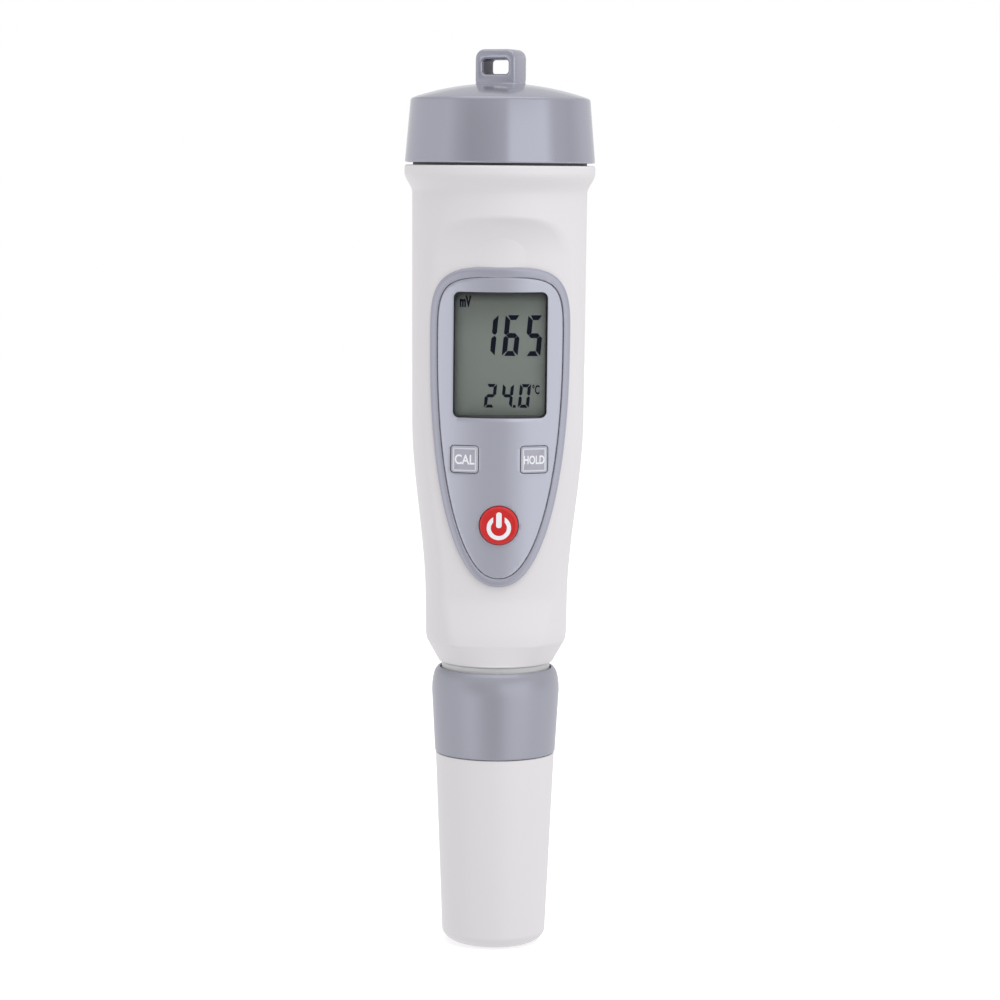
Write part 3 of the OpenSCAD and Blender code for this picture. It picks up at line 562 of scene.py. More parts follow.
FINISHES = {
    "white plastic": lambda n: surface(n, chosen().shell.colour, 0.42, 4, 0.002, 0.02, 0.03, 0,
                                       coat_weight=0.08, coat_roughness=0.25, specular_ior_level=0.45),
    "grey plastic": lambda n: surface(n, chosen().lid.colour, 0.16, 4, 0.0006, 0.04, 0.03, 0.1, 0.03,
                                      metallic=0.5, specular_ior_level=0.3),
    # Painted shade: a darker copy of the lid's grey plastic, given to the inner walls of the lanyard hole.
    "lid shade": lambda n: surface(n, (0.13, 0.13, 0.16), 0.4, 4, 0.001, 0.1, 0.1, 0, metallic=0.2,
                                   specular_ior_level=0.2),
    "collar plastic": lambda n: surface(n, chosen().collar.colour, 0.3, 4, 0.001, 0.04, 0.03, 0.1, 0.04,
                                        metallic=0.35, specular_ior_level=0.3),
    "bezel lacquer": lambda n: surface(n, chosen().panel.bezel_colour, 0.2, 5, 0.0006, 0.03, 0.03, 0.1,
                                       0.03, metallic=0.3),
    "plate lacquer": lambda n: surface(n, chosen().panel.plate_colour, 0.15, 9, 0.0004, 0.04, 0.02, 0,
                                       0.03, metallic=0.4),
    "key rubber": lambda n: surface(n, chosen().keys.colour, 0.38, 6, 0.004, 0.05, 0.1, 0.2),
    "key rim": lambda n: surface(n, (0.57, 0.58, 0.64), 0.38, 6, 0.002, 0.05, 0.1, 0.2),
    "legend ink": lambda n: surface(n, (0.82, 0.83, 0.86), 0.4, 12, 0.001, 0.06, 0.8, 0),
    "power rubber": lambda n: surface(n, chosen().keys.power_colour, 0.3, 6, 0.002, 0.06, 0.1, 0.2,
                                      specular_ior_level=0.35),
    "display glass": shaded_glass,
    "display ink": lambda n: surface(n, (0.006, 0.007, 0.016), 0.6, 12, 0.001, 0.1, 1, 0,
                                     specular_ior_level=0.0),
    "black foam": lambda n: surface(n, (0.018, 0.018, 0.02), 0.85, 5, 0.03, 0.3, 0.5, 0.05),
    "black rubber": lambda n: surface(n, (0.02, 0.018, 0.018), 0.6, 3, 0.01, 0.2, 0.1, 0.1),
    "pale silicone": lambda n: surface(n, (0.62, 0.62, 0.63), 0.45, 3, 0.008, 0.08, 0.1, 0.2),
    "pink silicone": lambda n: surface(n, (0.70, 0.26, 0.33), 0.5, 8, 0.01, 0.2, 0.4, 0.1),
    "black plastic": lambda n: surface(n, (0.02, 0.02, 0.022), 0.42, 3, 0.01, 0.2, 0.1, 0.15),
    "probe plastic": lambda n: surface(n, (0.022, 0.024, 0.028), 0.3, 4, 0.006, 0.15, 0.05, 0.15,
                                       coat_weight=0.2, coat_roughness=0.15),
    "white frame": lambda n: surface(n, (0.80, 0.80, 0.77), 0.6, 3, 0.01, 0.06, 0.1, 0.1),
    "gold contact": lambda n: surface(n, (0.83, 0.60, 0.22), 0.22, 6, 0.004, 0.15, 0.3, 0.2, metallic=1.0),
    "nickel": lambda n: surface(n, (0.62, 0.62, 0.60), 0.24, 5, 0.003, 0.12, 0.2, 0.2, metallic=1.0),
    "steel": lambda n: surface(n, (0.50, 0.51, 0.53), 0.32, 8, 0.006, 0.15, 0.3, 0.2, metallic=1.0),
    "platinum": lambda n: surface(n, (0.72, 0.71, 0.69), 0.16, 6, 0.002, 0.1, 0.3, 0.2, metallic=1.0),
    "board green": lambda n: surface(n, (0.012, 0.10, 0.035), 0.35, 6, 0.006, 0.35, 0.35, 0.1,
                                     coat_weight=0.4, coat_roughness=0.2),
    "chip black": lambda n: surface(n, (0.02, 0.02, 0.02), 0.6, 7, 0.02, 0.2, 0.3, 0.2),
    "tan ceramic": lambda n: surface(n, (0.45, 0.28, 0.13), 0.5, 7, 0.01, 0.2, 0.6, 0.2),
    "white ceramic": lambda n: surface(n, (0.82, 0.80, 0.74), 0.8, 9, 0.03, 0.1, 0.6, 0.1),
    "red lead": lambda n: surface(n, (0.45, 0.01, 0.01), 0.4, 5, 0.006, 0.15, 0.2, 0.2),
    "black lead": lambda n: surface(n, (0.015, 0.015, 0.015), 0.4, 5, 0.006, 0.2, 0.2, 0.2),
    "blue lead": lambda n: surface(n, (0.03, 0.10, 0.38), 0.4, 5, 0.006, 0.15, 0.2, 0.2),
    "sponge": lambda n: surface(n, (0.72, 0.62, 0.30), 0.95, 2, 0.25, 0.45, 2.2, 0.1),
    "probe glass": lambda n: surface(n, (0.80, 0.88, 0.90), 0.08, 4, 0.001, 0.04, 0.1, 0, alpha=0.45),
    "clear lens": lambda n: surface(n, (0.10, 0.11, 0.11), 0.06, 3, 0.0002, 0.03, 0.05, 0, alpha=0.04,
                                    specular_ior_level=0.06),
    "backdrop": lambda n: surface(n, (0.93, 0.93, 0.93), 0.9, 0.2, 0.001, 0.01, 0.002, 0,
                                  specular_ior_level=0.0, emission_color=(1, 1, 1, 1), emission_strength=0.3),
}


# ---- What a user would change ----

def colour(default, name):
    return FloatVectorProperty(name=name, description=f"{name} of the finish", subtype="COLOR",
                               default=default, min=0, max=1)


def length(default, name, words, low=0.0, high=10.0):
    return FloatProperty(name=name, description=words + ", in millimetres", default=default, min=low, max=high)


class ShellSettings(bpy.types.PropertyGroup):
    colour: colour((0.69, 0.67, 0.685), "Colour")
    ridge: length(0.45, "Ridge round", "Radius of the soft ridge where the front is scooped out", 0.2, 1.5)
    steps: IntProperty(name="Facets", description="Facets round the housing", default=288, min=96, max=320)


class LidSettings(bpy.types.PropertyGroup):
    colour: colour((0.385, 0.39, 0.455), "Colour")
    edge: length(0.7, "Edge round", "Radius of the edge between skirt and dome", 0.2, 1.5)
    loop_turn: FloatProperty(name="Loop turn", description="Turn of the lanyard loop", subtype="ANGLE",
                             default=radians(-27))


class PanelSettings(bpy.types.PropertyGroup):
    bezel_colour: colour((0.37, 0.375, 0.445), "Bezel colour")
    plate_colour: colour((0.455, 0.465, 0.54), "Plate colour")
    bezel_width: length(1.75, "Bezel width", "Width of the bezel's face", 1, 3)
    bezel_proud: length(0.75, "Bezel height", "How far the bezel stands out of the front", 0.3, 1.2)
    plate_proud: length(0.55, "Plate height", "How far the plate stands out of the front", 0.2, 1.0)


class DisplaySettings(bpy.types.PropertyGroup):
    colour: colour((0.212, 0.238, 0.217), "Colour")
    upper: StringProperty(name="Upper reading", description="Digits of the main reading", default="165")
    lower: StringProperty(name="Lower reading", description="Digits of the temperature reading", default="240")


class KeySettings(bpy.types.PropertyGroup):
    colour: colour((0.375, 0.38, 0.44), "Key colour")
    power_colour: colour((0.58, 0.016, 0.016), "Power key colour")
    frame_inset: length(0.35, "Frame inset", "Inset of the fine raised frame on a square key", 0.1, 1)


class CollarSettings(bpy.types.PropertyGroup):
    colour: colour((0.35, 0.355, 0.41), "Colour")
    shoulder: length(5.0, "Shoulder", "Height of the ring nut's round shoulder", 3, 6)


class StorageSettings(bpy.types.PropertyGroup):
    taper: length(1.75, "Taper", "How much narrower the storage cap is at its foot, on the radius", 0.5, 2.2)
    foot_reach: length(4.3, "Foot reach", "Reach of the foot's round edge, sideways", 1, 6)
    foot_rise: length(3.0, "Foot rise", "Reach of the foot's round edge, upwards", 1, 5)


class ProbeSettings(bpy.types.PropertyGroup):
    guard: length(5.8, "Guard", "Depth of the guard's crown round the sensors", 4, 7)
    slot: length(4.0, "Slot", "Width of a slot in the guard's crown", 2, 5)


class StageSettings(bpy.types.PropertyGroup):
    distance: length(680, "Camera distance", "Level distance from the housing's axis to the camera", 300, 2000)
    height: length(166.4, "Camera height", "Height of the camera over the foot", 0, 500)
    pitch: FloatProperty(name="Pitch", description="How far the camera looks down", subtype="ANGLE",
                         default=radians(5.98))
    around: FloatProperty(name="Azimuth", description="Turn of the camera about the axis", subtype="ANGLE",
                          default=radians(-1.8))
    roll: FloatProperty(name="Roll", description="Roll of the camera", subtype="ANGLE", default=radians(0.51))
    aim: FloatProperty(name="Aim", description="Turn of the camera off the axis", subtype="ANGLE",
                       default=radians(-0.053))
    lens: length(115.85, "Lens", "Focal length on a 36 mm sensor", 50, 200)


class TesterSettings(bpy.types.PropertyGroup):
    shell: PointerProperty(type=ShellSettings)
    lid: PointerProperty(type=LidSettings)
    panel: PointerProperty(type=PanelSettings)
    display: PointerProperty(type=DisplaySettings)
    keys: PointerProperty(type=KeySettings)
    collar: PointerProperty(type=CollarSettings)
    storage: PointerProperty(type=StorageSettings)
    probe: PointerProperty(type=ProbeSettings)
    stage: PointerProperty(type=StageSettings)


def chosen():
    return bpy.context.scene.water_tester


# ---- Housing ----

def smooth(t):
    return t * t * (3 - 2 * t)


WAIST_Z = BODY_Z + 13
STRAIGHT_Z = FLANGE_Z - 53
FLARE_TOP = FLANGE_Z - 1.6
FLARE_BOTTOM = FLARE_TOP - 4.2
# The lower cone: how far its foot is set in, its run and its rise, and the level where it is evened out
CONE_SET_IN, CONE_RUN, CONE_RISE, CONE_TOP = 2.88, 2.68, 4.75, 4.52


def side_r(z):
    """The housing's outer radius at a height between its lower cone and its top flange."""
    if z <= WAIST_Z:
        t = (z - BODY_Z - 5.6) / (WAIST_Z - BODY_Z - 5.6)
        return WAIST_R + 0.1 * t
    if z <= STRAIGHT_Z:
        t = smooth((z - WAIST_Z) / (STRAIGHT_Z - WAIST_Z))
        return WAIST_R + 0.1 + (BODY_R - 0.25 - WAIST_R - 0.1) * t
    if z <= FLARE_BOTTOM:
        return BODY_R - 0.25 * (FLARE_BOTTOM - z) / (FLARE_BOTTOM - STRAIGHT_Z)
    return BODY_R + (FLANGE_R - BODY_R) * smooth(min(1, (z - FLARE_BOTTOM) / (FLARE_TOP - FLARE_BOTTOM)))


def rows(start, end, step):
    count = max(1, round((end - start) / step))
    return [start + (end - start) * i / count for i in range(count + 1)]


def housing_path():
    """The housing's half-section: up the outside, and down the inside."""
    foot = WAIST_R - CONE_SET_IN
    cone = [(foot + CONE_RUN * t / 10, BODY_Z + CONE_RISE * t / 10) for t in range(1, 10)]
    outer = [(NECK_BORE_R, NECK_Z), (NECK_R, NECK_Z, 0.4), (NECK_R, BODY_Z - 0.01),
             (foot, BODY_Z, 0.4), *cone, (foot + CONE_RUN, BODY_Z + CONE_RISE, 1.4)]
    outer = softened(outer + [(WAIST_R, BODY_Z + 6.2)], step=12)
    levels = (rows(BODY_Z + 6.2, BODY_Z + 79, 1.05) + rows(BODY_Z + 79.3, BODY_Z + 97, 0.3)
              + rows(BODY_Z + 97.4, FLARE_TOP, 0.45))
    outer += [(side_r(z), z) for z in levels[1:]]
    top = softened([(FLANGE_R, FLARE_TOP), (FLANGE_R, FLANGE_Z, 0.45), (TOP_NECK_R, FLANGE_Z, 0.3),
                    (TOP_NECK_R, TOP_NECK_Z, 0.35), (TOP_NECK_R - 1.6, TOP_NECK_Z, 0.35),
                    (TOP_NECK_R - 1.6, FLANGE_Z - 3), (BODY_R - WALL, FLANGE_Z - 6)])
    inner = [(side_r(z) - WALL, z) for z in rows(FLANGE_Z - 7, BODY_Z + 7, 2.5)]
    return outer + top[1:] + inner + [(WAIST_R - WALL - 0.6, BODY_Z + 2), (NECK_BORE_R, BODY_Z + 2)]


def front_path():
    """Half-section of the scooped front about its own upright axis: heel, convex face and cove."""
    heel_y = (-(WAIST_R - 2.2) - FRONT_Y) * cos(TILT) + (BODY_Z + 6.6 - WINDOW_Z) * sin(TILT)
    path = [(FRONT_R - heel_y + 1.2, -90), (FRONT_R - heel_y, BODY_Z + 6.6 - WINDOW_Z),
            (FRONT_R, SCOOP_BOTTOM), (FRONT_R, COVE_BOTTOM)]
    path += [(FRONT_R + COVE_D * (1 - cos(radians(a))), COVE_BOTTOM + COVE_H * sin(radians(a)))
             for a in range(6, 91, 6)]
    return path + [(FRONT_R + COVE_D + 14, COVE_BOTTOM + COVE_H)]


def front_distance(r, angle, z):
    """How far points lie outside the scooped front, negative inside it. All are arrays."""
    x, y = r * np.sin(angle), -r * np.cos(angle)
    dy, dz = y - FRONT_Y, z - WINDOW_Z
    across = np.hypot(x, dy * cos(TILT) + dz * sin(TILT) - FRONT_R)
    up = -dy * sin(TILT) + dz * cos(TILT)
    nearest = np.full(r.shape, 1e9)
    path = front_path()
    for (r0, z0), (r1, z1) in zip(path, path[1:]):
        dr, dh = r1 - r0, z1 - z0
        t = np.clip(((across - r0) * dr + (up - z0) * dh) / (dr * dr + dh * dh), 0, 1)
        nearest = np.minimum(nearest, np.hypot(across - r0 - t * dr, up - z0 - t * dh))
    face = np.interp(up, [z for _, z in path[:-1]], [r for r, _ in path[:-1]])
    outside = (across > face) & (up < COVE_BOTTOM + COVE_H)
    return np.where(outside, nearest, -nearest)


def scoop(piece, ridge):
    """Moves the housing's side in to the scooped front, with a soft ridge where the two meet."""
    count = len(piece.data.vertices)
    co = np.empty(count * 3)
    piece.data.vertices.foreach_get("co", co)
    co = co.reshape(-1, 3) / MM
    r, z = np.hypot(co[:, 0], co[:, 1]), co[:, 2]
    angle = np.arctan2(co[:, 0], -co[:, 1])
    angle = angle - 0.5 * np.sin(angle)
    outer_r = np.array([side_r(min(max(h, BODY_Z + 5), FLANGE_Z)) for h in z])
    foot, up_cone = WAIST_R - CONE_SET_IN, z - BODY_Z
    cone = (np.abs(r - foot - CONE_RUN * up_cone / CONE_RISE) < 0.1) & (up_cone > 0.3) & (up_cone < CONE_TOP)
    inside = (r < outer_r - WALL * 0.6) & ~cone
    inset = np.where(inside, WALL, 0.0)
    movable = (z > BODY_Z + 1.0) & (z < FLANGE_Z - 1.5) & (np.abs(angle) < 1.6)
    movable &= ~(inside & (r < BODY_R - WALL - 6)) & (r > NECK_BORE_R + 0.5)
    full, level = np.where(cone, WAIST_R - 0.33, r), np.where(cone, BODY_Z + CONE_TOP, z)
    movable |= cone
    low, high = full * 0.35, full.copy()
    for _ in range(24):
        middle = (low + high) / 2
        a = middle - full
        b = front_distance(middle, angle, level) + inset
        value = (np.minimum(np.maximum(a, b), -ridge)
                 + np.hypot(np.maximum(a + ridge, 0), np.maximum(b + ridge, 0)))
        low, high = np.where(value < 0, middle, low), np.where(value < 0, high, middle)
    found = (low + high) / 2
    found = np.where(cone, foot + (found - foot) * up_cone / CONE_TOP, found)
    r = np.where(movable, found, r)
    co[:, 0], co[:, 1] = r * np.sin(angle), -r * np.cos(angle)
    piece.data.vertices.foreach_set("co", (co * MM).ravel())
    piece.data.update()


class MakeShell(bpy.types.Operator):
    """Makes the housing: its scooped front, window, key holes, necks and threads"""
    bl_idname = "tester.shell"
    bl_label = "Housing"

    def execute(self, context):
        settings = chosen().shell
        shell = turned("shell", housing_path(), settings.steps)
        scoop(shell, settings.ridge)
        opening = block("opening", (WINDOW_W + 2.5, 12, WINDOW_H + 2.8), (0, 0, 0), 0.6, axis=1)
        combine(shell, on_front(opening, bend=False))
        for side in (-1, 1):
            hole = block("hole", (5.9, 14, 5.9), (side * KEY_X, 2, KEY_ROW), 0.75, axis=1)
            combine(shell, on_front(hole, bend=False))
        hole = rod("hole", 4.2, 14, (0, 2, POWER_ROW), axis=1, sides=72)
        combine(shell, on_front(hole, bend=False))
        threads = [helix("thread", TOP_NECK_R - 0.3, TOP_NECK_R + 0.8, 3.0, 2.1, FLANGE_Z + 3.1),
                   helix("thread", NECK_R - 0.3, NECK_R + 0.7, 2.5, 2.1, NECK_Z + 1.9)]
        shell = joined([shell, *threads])
        done(shell, "housing", finish_of("white plastic"), ["housing"], angle=32)
        return {"FINISHED"}


# ---- Battery cap ----

DOME_R = 57.0
LOOP_W, LOOP_T, LOOP_H = 9.3, 6.0, 7.0
HOLE_W, HOLE_H = 5.9, 3.0
LID_TOP = edge("battery_cap", 1, 2)
APEX_Z = LID_TOP - LOOP_H
DISC_Z = edge("contact_disc", 1, 2) - 1
DISC_R = edge("contact_disc", 1, 0)
SPRING_TOP = edge("contact_spring", 1, 2) + 0.05


def dome_z(x, y):
    return APEX_Z - DOME_R + sqrt(DOME_R * DOME_R - x * x - y * y)


def make_loop():
    """The lanyard loop, with its hole, painted shade on the hole's inner walls, and the soft fillet at its
    foot.
    """
    foot = APEX_Z + 0.55
    height = LID_TOP - foot
    loop = block("loop", (LOOP_W, LOOP_T, height), (0, 0, foot + height / 2))
    edit(loop, "DESELECT")
    bpy.ops.mesh.select_mode(type="EDGE")
    mesh = bmesh.from_edit_mesh(loop.data)
    for line in mesh.edges:
        a, b = (v.co / MM for v in line.verts)
        if abs(a.y - b.y) > 1 and min(a.z, b.z) > foot + 1:
            line.select_set(True)
    bmesh.update_edit_mesh(loop.data)
    bpy.ops.mesh.bevel(offset=2.0 * MM, segments=8, affect="EDGES")
    clear()
    hole_z = LID_TOP - 2.15 - HOLE_H / 2
    combine(loop, block("hole", (HOLE_W, 20, HOLE_H), (0, 0, hole_z), 0.75, axis=1))
    edit(loop, "DESELECT")
    select_faces(loop, lambda f: f.normal.z < -0.9 and f.calc_center_median().z < (foot + 0.1) * MM)
    bpy.ops.mesh.delete(type="FACE")
    clear()
    bevelled(loop, 0.7, 4, angle=50)
    # The hole's inner walls take a darker copy of the lid's plastic: painted shade inside the lanyard hole.
    loop.data.materials.clear()
    loop.data.materials.append(finish_of("grey plastic"))
    loop.data.materials.append(finish_of("lid shade"))
    for face in loop.data.polygons:
        x, y, z = face.center / MM
        if abs(x) < HOLE_W / 2 + 0.05 and abs(z - hole_z) < HOLE_H / 2 + 0.05 and abs(y) < LOOP_T / 2 - 0.65:
            face.material_index = 1
    edit(loop, "DESELECT")
    bpy.ops.mesh.select_mode(type="EDGE")
    bpy.ops.mesh.select_non_manifold()
    for out, up in ((0.04, 0.22), (0.12, 0.08), (0.25, 0.0), (0.5, -0.14)):
        bpy.ops.mesh.extrude_edges_move()
        mesh = bmesh.from_edit_mesh(loop.data)
        for vertex in (v for v in mesh.verts if v.select):
            x, y = vertex.co.x / MM, vertex.co.y / MM
            core_x = max(-LOOP_W / 2 + 1, min(LOOP_W / 2 - 1, x))
            core_y = max(-LOOP_T / 2 + 1, min(LOOP_T / 2 - 1, y))
            away = Vector((x - core_x, y - core_y))
            away = away.normalized() if away.length > 1e-6 else Vector((0, 0))
            x, y = core_x + away.x * (1 + out), core_y + away.y * (1 + out)
            vertex.co = Vector((x, y, dome_z(x, y) + up)) * MM
        bmesh.update_edit_mesh(loop.data)
    clear()
    loop.rotation_euler.z = chosen().lid.loop_turn
    return settle(loop)


class MakeLid(bpy.types.Operator):
    """Makes the battery cap: skirt, dome, lanyard loop, thread and the seat of its contact disc"""
    bl_idname = "tester.lid"
    bl_label = "Battery cap"

    def execute(self, context):
        settings = chosen().lid
        skirt_r = FLANGE_R - 0.05
        top_r, edge_z = skirt_r - 1.15, CAP_Z + 13.0
        bore = TOP_NECK_R + 1.1
        ceiling = TOP_NECK_Z + 1
        dome = [(r, dome_z(r, 0)) for r in rows(top_r - 1.4, 0, -1.5)]
        path = softened([(skirt_r - 1.5, CAP_Z), (skirt_r, CAP_Z, 0.3), (top_r, edge_z + 0.35, settings.edge),
                         *dome], step=10)
        path += softened([
            (0, SPRING_TOP + 0.05), (DISC_R + 0.3, SPRING_TOP + 0.05, 0.4), (DISC_R + 0.3, DISC_Z + 0.9),
            (DISC_R + 0.3, DISC_Z - 0.05), (DISC_R - 0.6, DISC_Z - 0.05), (DISC_R - 0.6, DISC_Z - 0.8, 0.15),
            (DISC_R + 2.1, DISC_Z - 0.8, 0.3), (DISC_R + 2.1, ceiling, 0.6), (bore, ceiling, 0.6),
            (bore, CAP_Z + 0.9, 0.15), (skirt_r - 1.5, CAP_Z + 0.9, 0.1), (skirt_r - 1.5, CAP_Z)])
        lid = turned("battery_lid", path, 192)
        lid.data.materials.clear()
        lid.data.materials.append(finish_of("grey plastic"))
        thread = helix("thread", bore + 0.3, TOP_NECK_R + 0.3, 3.0, 1.5, FLANGE_Z + 3.1 + 1.5)
        lid = joined([lid, make_loop(), thread])
        done(lid, "battery_cap", None, ["battery_cap"], angle=32)
        return {"FINISHED"}


# ---- Panel ----

def egg_x(half, t, power):
    return half * max(0, 1 - t ** power) ** (1 / power)


def egg(inset, steps=40):
    """The panel's outline: one power curve above its widest line and one below."""
    half, up = PANEL_HALF - inset, PANEL_TOP - inset - PANEL_MID
    down = PANEL_MID - PANEL_TIP - inset
    quarter = [sin(pi / 2 * i / steps) for i in range(steps + 1)]
    right = [(egg_x(half, t, 2.25), PANEL_MID - down * t) for t in reversed(quarter[1:])]
    right += [(egg_x(half, t, 3.6), PANEL_MID + up * t) for t in quarter]
    return right + [(-x, z) for x, z in reversed(right[1:-1])]


# How far the groove in the panel lies from an even inset, at the sides and at the top
GROOVE_SIDE, GROOVE_TOP = 0.3, 0.35


def spread(piece):
    """Moves what is selected to the groove's own outline: nearer the sides, and farther from the top."""
    mesh = bmesh.from_edit_mesh(piece.data)
    for vertex in mesh.verts:
        if vertex.select:
            vertex.co.x *= 1 + GROOVE_SIDE / PANEL_HALF
            up = (vertex.co.z / MM - PANEL_MID) / (PANEL_TOP - PANEL_MID)
            vertex.co.z -= GROOVE_TOP * MM * max(0, up) ** 2
    bmesh.update_edit_mesh(piece.data)


def egg_plate(name, inset, level, face, rim):
    """An egg-shaped plate whose face has a rounded rim, given as (inset, height) steps."""
    outline = egg(0)
    piece = drawn(name, [(x, -level, z) for x, z in [*outline, outline[0]]])
    bpy.ops.mesh.select_all(action="SELECT")
    bpy.ops.mesh.edge_face_add()
    if inset:
        bpy.ops.mesh.inset(thickness=inset * MM, depth=0)
        bpy.ops.mesh.select_all(action="INVERT")
        bpy.ops.mesh.delete(type="VERT")
        bpy.ops.mesh.select_all(action="SELECT")
        spread(piece)
    bpy.ops.mesh.extrude_region_move(TRANSFORM_OT_translate={"value": (0, -(face - level) * MM, 0)})
    for inward, out in rim:
        bpy.ops.mesh.inset(thickness=inward * MM, depth=0)
        bpy.ops.transform.translate(value=(0, -out * MM, 0))
        if inward > 0.5:
            spread(piece)
    return piece


def opened(piece, level):
    """Turns an egg-shaped plate into a ring: its last inset face and its back become one passage."""
    bpy.ops.mesh.delete(type="FACE")
    select_faces(piece, lambda f: abs(f.normal.y) > 0.9 and abs(f.calc_center_median().y / MM + level) < 0.01
                 and len(f.verts) > 8)
    bpy.ops.mesh.delete(type="ONLY_FACE")
    bpy.ops.mesh.select_mode(type="EDGE")
    bpy.ops.mesh.select_all(action="DESELECT")
    bpy.ops.mesh.select_non_manifold()
    bpy.ops.mesh.bridge_edge_loops()
    return mend(piece)


class MakePanel(bpy.types.Operator):
    """Makes the bezel, the face plate, the display's lens and its black surround"""
    bl_idname = "tester.panel"
    bl_label = "Panel"

    def execute(self, context):
        settings = chosen().panel
        width, proud = settings.bezel_width, settings.bezel_proud
        back = -0.5
        bezel = egg_plate("bezel_ring", 0, back, proud - 0.45,
                          [(0.05, 0.2), (0.12, 0.14), (0.2, 0.09), (0.35, 0.02), (width - 0.9, -0.03),
                           (0.06, -0.03), (0.06, -0.08), (0.02, back - proud + 0.14)])
        opened(bezel, back)
        on_front(bezel)
        done(bezel, "housing", finish_of("bezel lacquer"), ["bezel"])

        plate = egg_plate("face_plate", width + 0.1, back, settings.plate_proud - 0.17,
                          [(0.03, 0.08), (0.06, 0.06), (0.14, 0.03)])
        mend(plate)
        combine(plate, block("opening", (WINDOW_W, 12, WINDOW_H), (0, 0, 0), 1.3, axis=1))
        for side in (-1, 1):
            combine(plate, block("hole", (5.9, 12, 5.9), (side * KEY_X, 0, KEY_ROW), 0.75, axis=1))
        combine(plate, rod("hole", 4.2, 12, (0, 0, POWER_ROW), axis=1, sides=72))
        bevelled(plate, 0.12, 2, angle=50)
        sliced(plate, 14.4, 0.6, levels=rows(PANEL_TIP + 2.5, PANEL_TOP - 2.5, 1.0))
        on_front(plate)
        done(plate, "housing", finish_of("plate lacquer"), ["faceplate"])

        lens = block("lens", (WINDOW_W - 0.1, 0.65, WINDOW_H - 0.1), (0, 0.225, 0), 1.25, axis=1)
        bevelled(lens, 0.12, 2, angle=50)
        sliced(lens, 9.6, 0.6)
        on_front(lens)
        done(lens, "housing", finish_of("clear lens"), ["display_window"])

        depth = drop(WINDOW_W / 2 + 1, -0.6) + 0.02
        surround = block("display_surround", (WINDOW_W + 2.2, depth, WINDOW_H + 2.4), (0, depth / 2 + 0.9, 0),
                         0.4, axis=1)
        combine(surround, block("opening", (WINDOW_W - 0.7, 20, WINDOW_H - 0.7), (0, 0, 0), 1.0, axis=1))
        sliced(surround, 10.6, 0.7)
        each_point(surround, lambda x, y, z: (x, drop(x, -0.65) if y < 0.95 else LCD_Y - 0.02, z))
        on_front(surround, bend=False)
        done(surround, "housing", finish_of("black foam"))
        return {"FINISHED"}


LCD_Y = drop(WINDOW_W / 2 + 1, -0.6) + 0.12


# ---- Display ----

SEGMENTS = {
    "0": "abcdef", "1": "bc", "2": "abged", "3": "abgcd", "4": "fgbc", "5": "afgcd", "6": "afgedc",
    "7": "abc", "8": "abcdefg", "9": "abfgcd", " ": "",
}


def segment_shapes(w, h, t, gap):
    """The seven bars of a digit as outlines, from its lower left corner."""
    m = h / 2
    g = gap / 2
    end = t / 2
    half = t / 2
    return {
        "a": [(end, h), (w - end, h), (w - t - g, h - t), (t + g, h - t)],
        "d": [(t + g, t), (w - t - g, t), (w - end, 0), (end, 0)],
        "g": [(t, m + half), (w - t, m + half), (w - half, m), (w - t, m - half), (t, m - half), (half, m)],
        "f": [(0, h - g), (t, h - t - g), (t, m + half + g), (half * 0.9, m + g), (0, m + half)],
        "e": [(0, m - half), (half * 0.9, m - g), (t, m - half - g), (t, t + g), (0, g)],
        "b": [(w, h - g), (w, m + half), (w - half * 0.9, m + g), (w - t, m + half + g), (w - t, h - t - g)],
        "c": [(w, m - half), (w, g), (w - t, t + g), (w - t, m - half - g), (w - half * 0.9, m - g)],
    }


def inked(name, outline, depth=0.03):
    """One flat printed shape, standing a hair off the display."""
    piece = drawn(name, [(x, 0, z) for x, z in [*outline, outline[0]]])
    bpy.ops.mesh.select_all(action="SELECT")
    bpy.ops.mesh.edge_face_add()
    bpy.ops.mesh.extrude_region_move(TRANSFORM_OT_translate={"value": (0, -depth * MM, 0)})
    bpy.ops.mesh.select_all(action="SELECT")
    bpy.ops.mesh.normals_make_consistent(inside=False)
    clear()
    return piece


def reading(digits, places, low, w, h, t, gap, slant=0.09):
    """The lit segments of a row of digits that lean to the right."""
    shapes = []
    for digit, left in zip(digits, places):
        for bar in SEGMENTS[digit]:
            outline = segment_shapes(w, h, t, gap)[bar]
            shapes.append(inked("bar", [(left + x + slant * z, low + z) for x, z in outline]))
    return shapes


def lettering(name, words, size, centre, bold=0.0, depth=0.03):
    """Words as a flat mesh in the panel's plane, size wide and high about (x, z), standing out along -y."""
    clear()
    bpy.ops.object.text_add()
    piece = bpy.context.object
    piece.name = name
    piece.data.body = words
    piece.data.offset = bold
    piece.data.extrude = depth / 2
    piece.data.resolution_u = 6
    pick(piece)
    bpy.ops.object.convert(target="MESH")
    piece = bpy.context.object
    piece.data.name = name
    xs = [v.co.x for v in piece.data.vertices]
    ys = [v.co.y for v in piece.data.vertices]
    middle_x, middle_y = (min(xs) + max(xs)) / 2, (min(ys) + max(ys)) / 2
    wide, high = size[0] * MM / (max(xs) - min(xs)), size[1] * MM / (max(ys) - min(ys))
    for vertex in piece.data.vertices:
        x, y, z = vertex.co
        vertex.co = ((x - middle_x) * wide + centre[0] * MM, -z * MM, (y - middle_y) * high + centre[1] * MM)
    piece.data.update()
    return mend(piece)


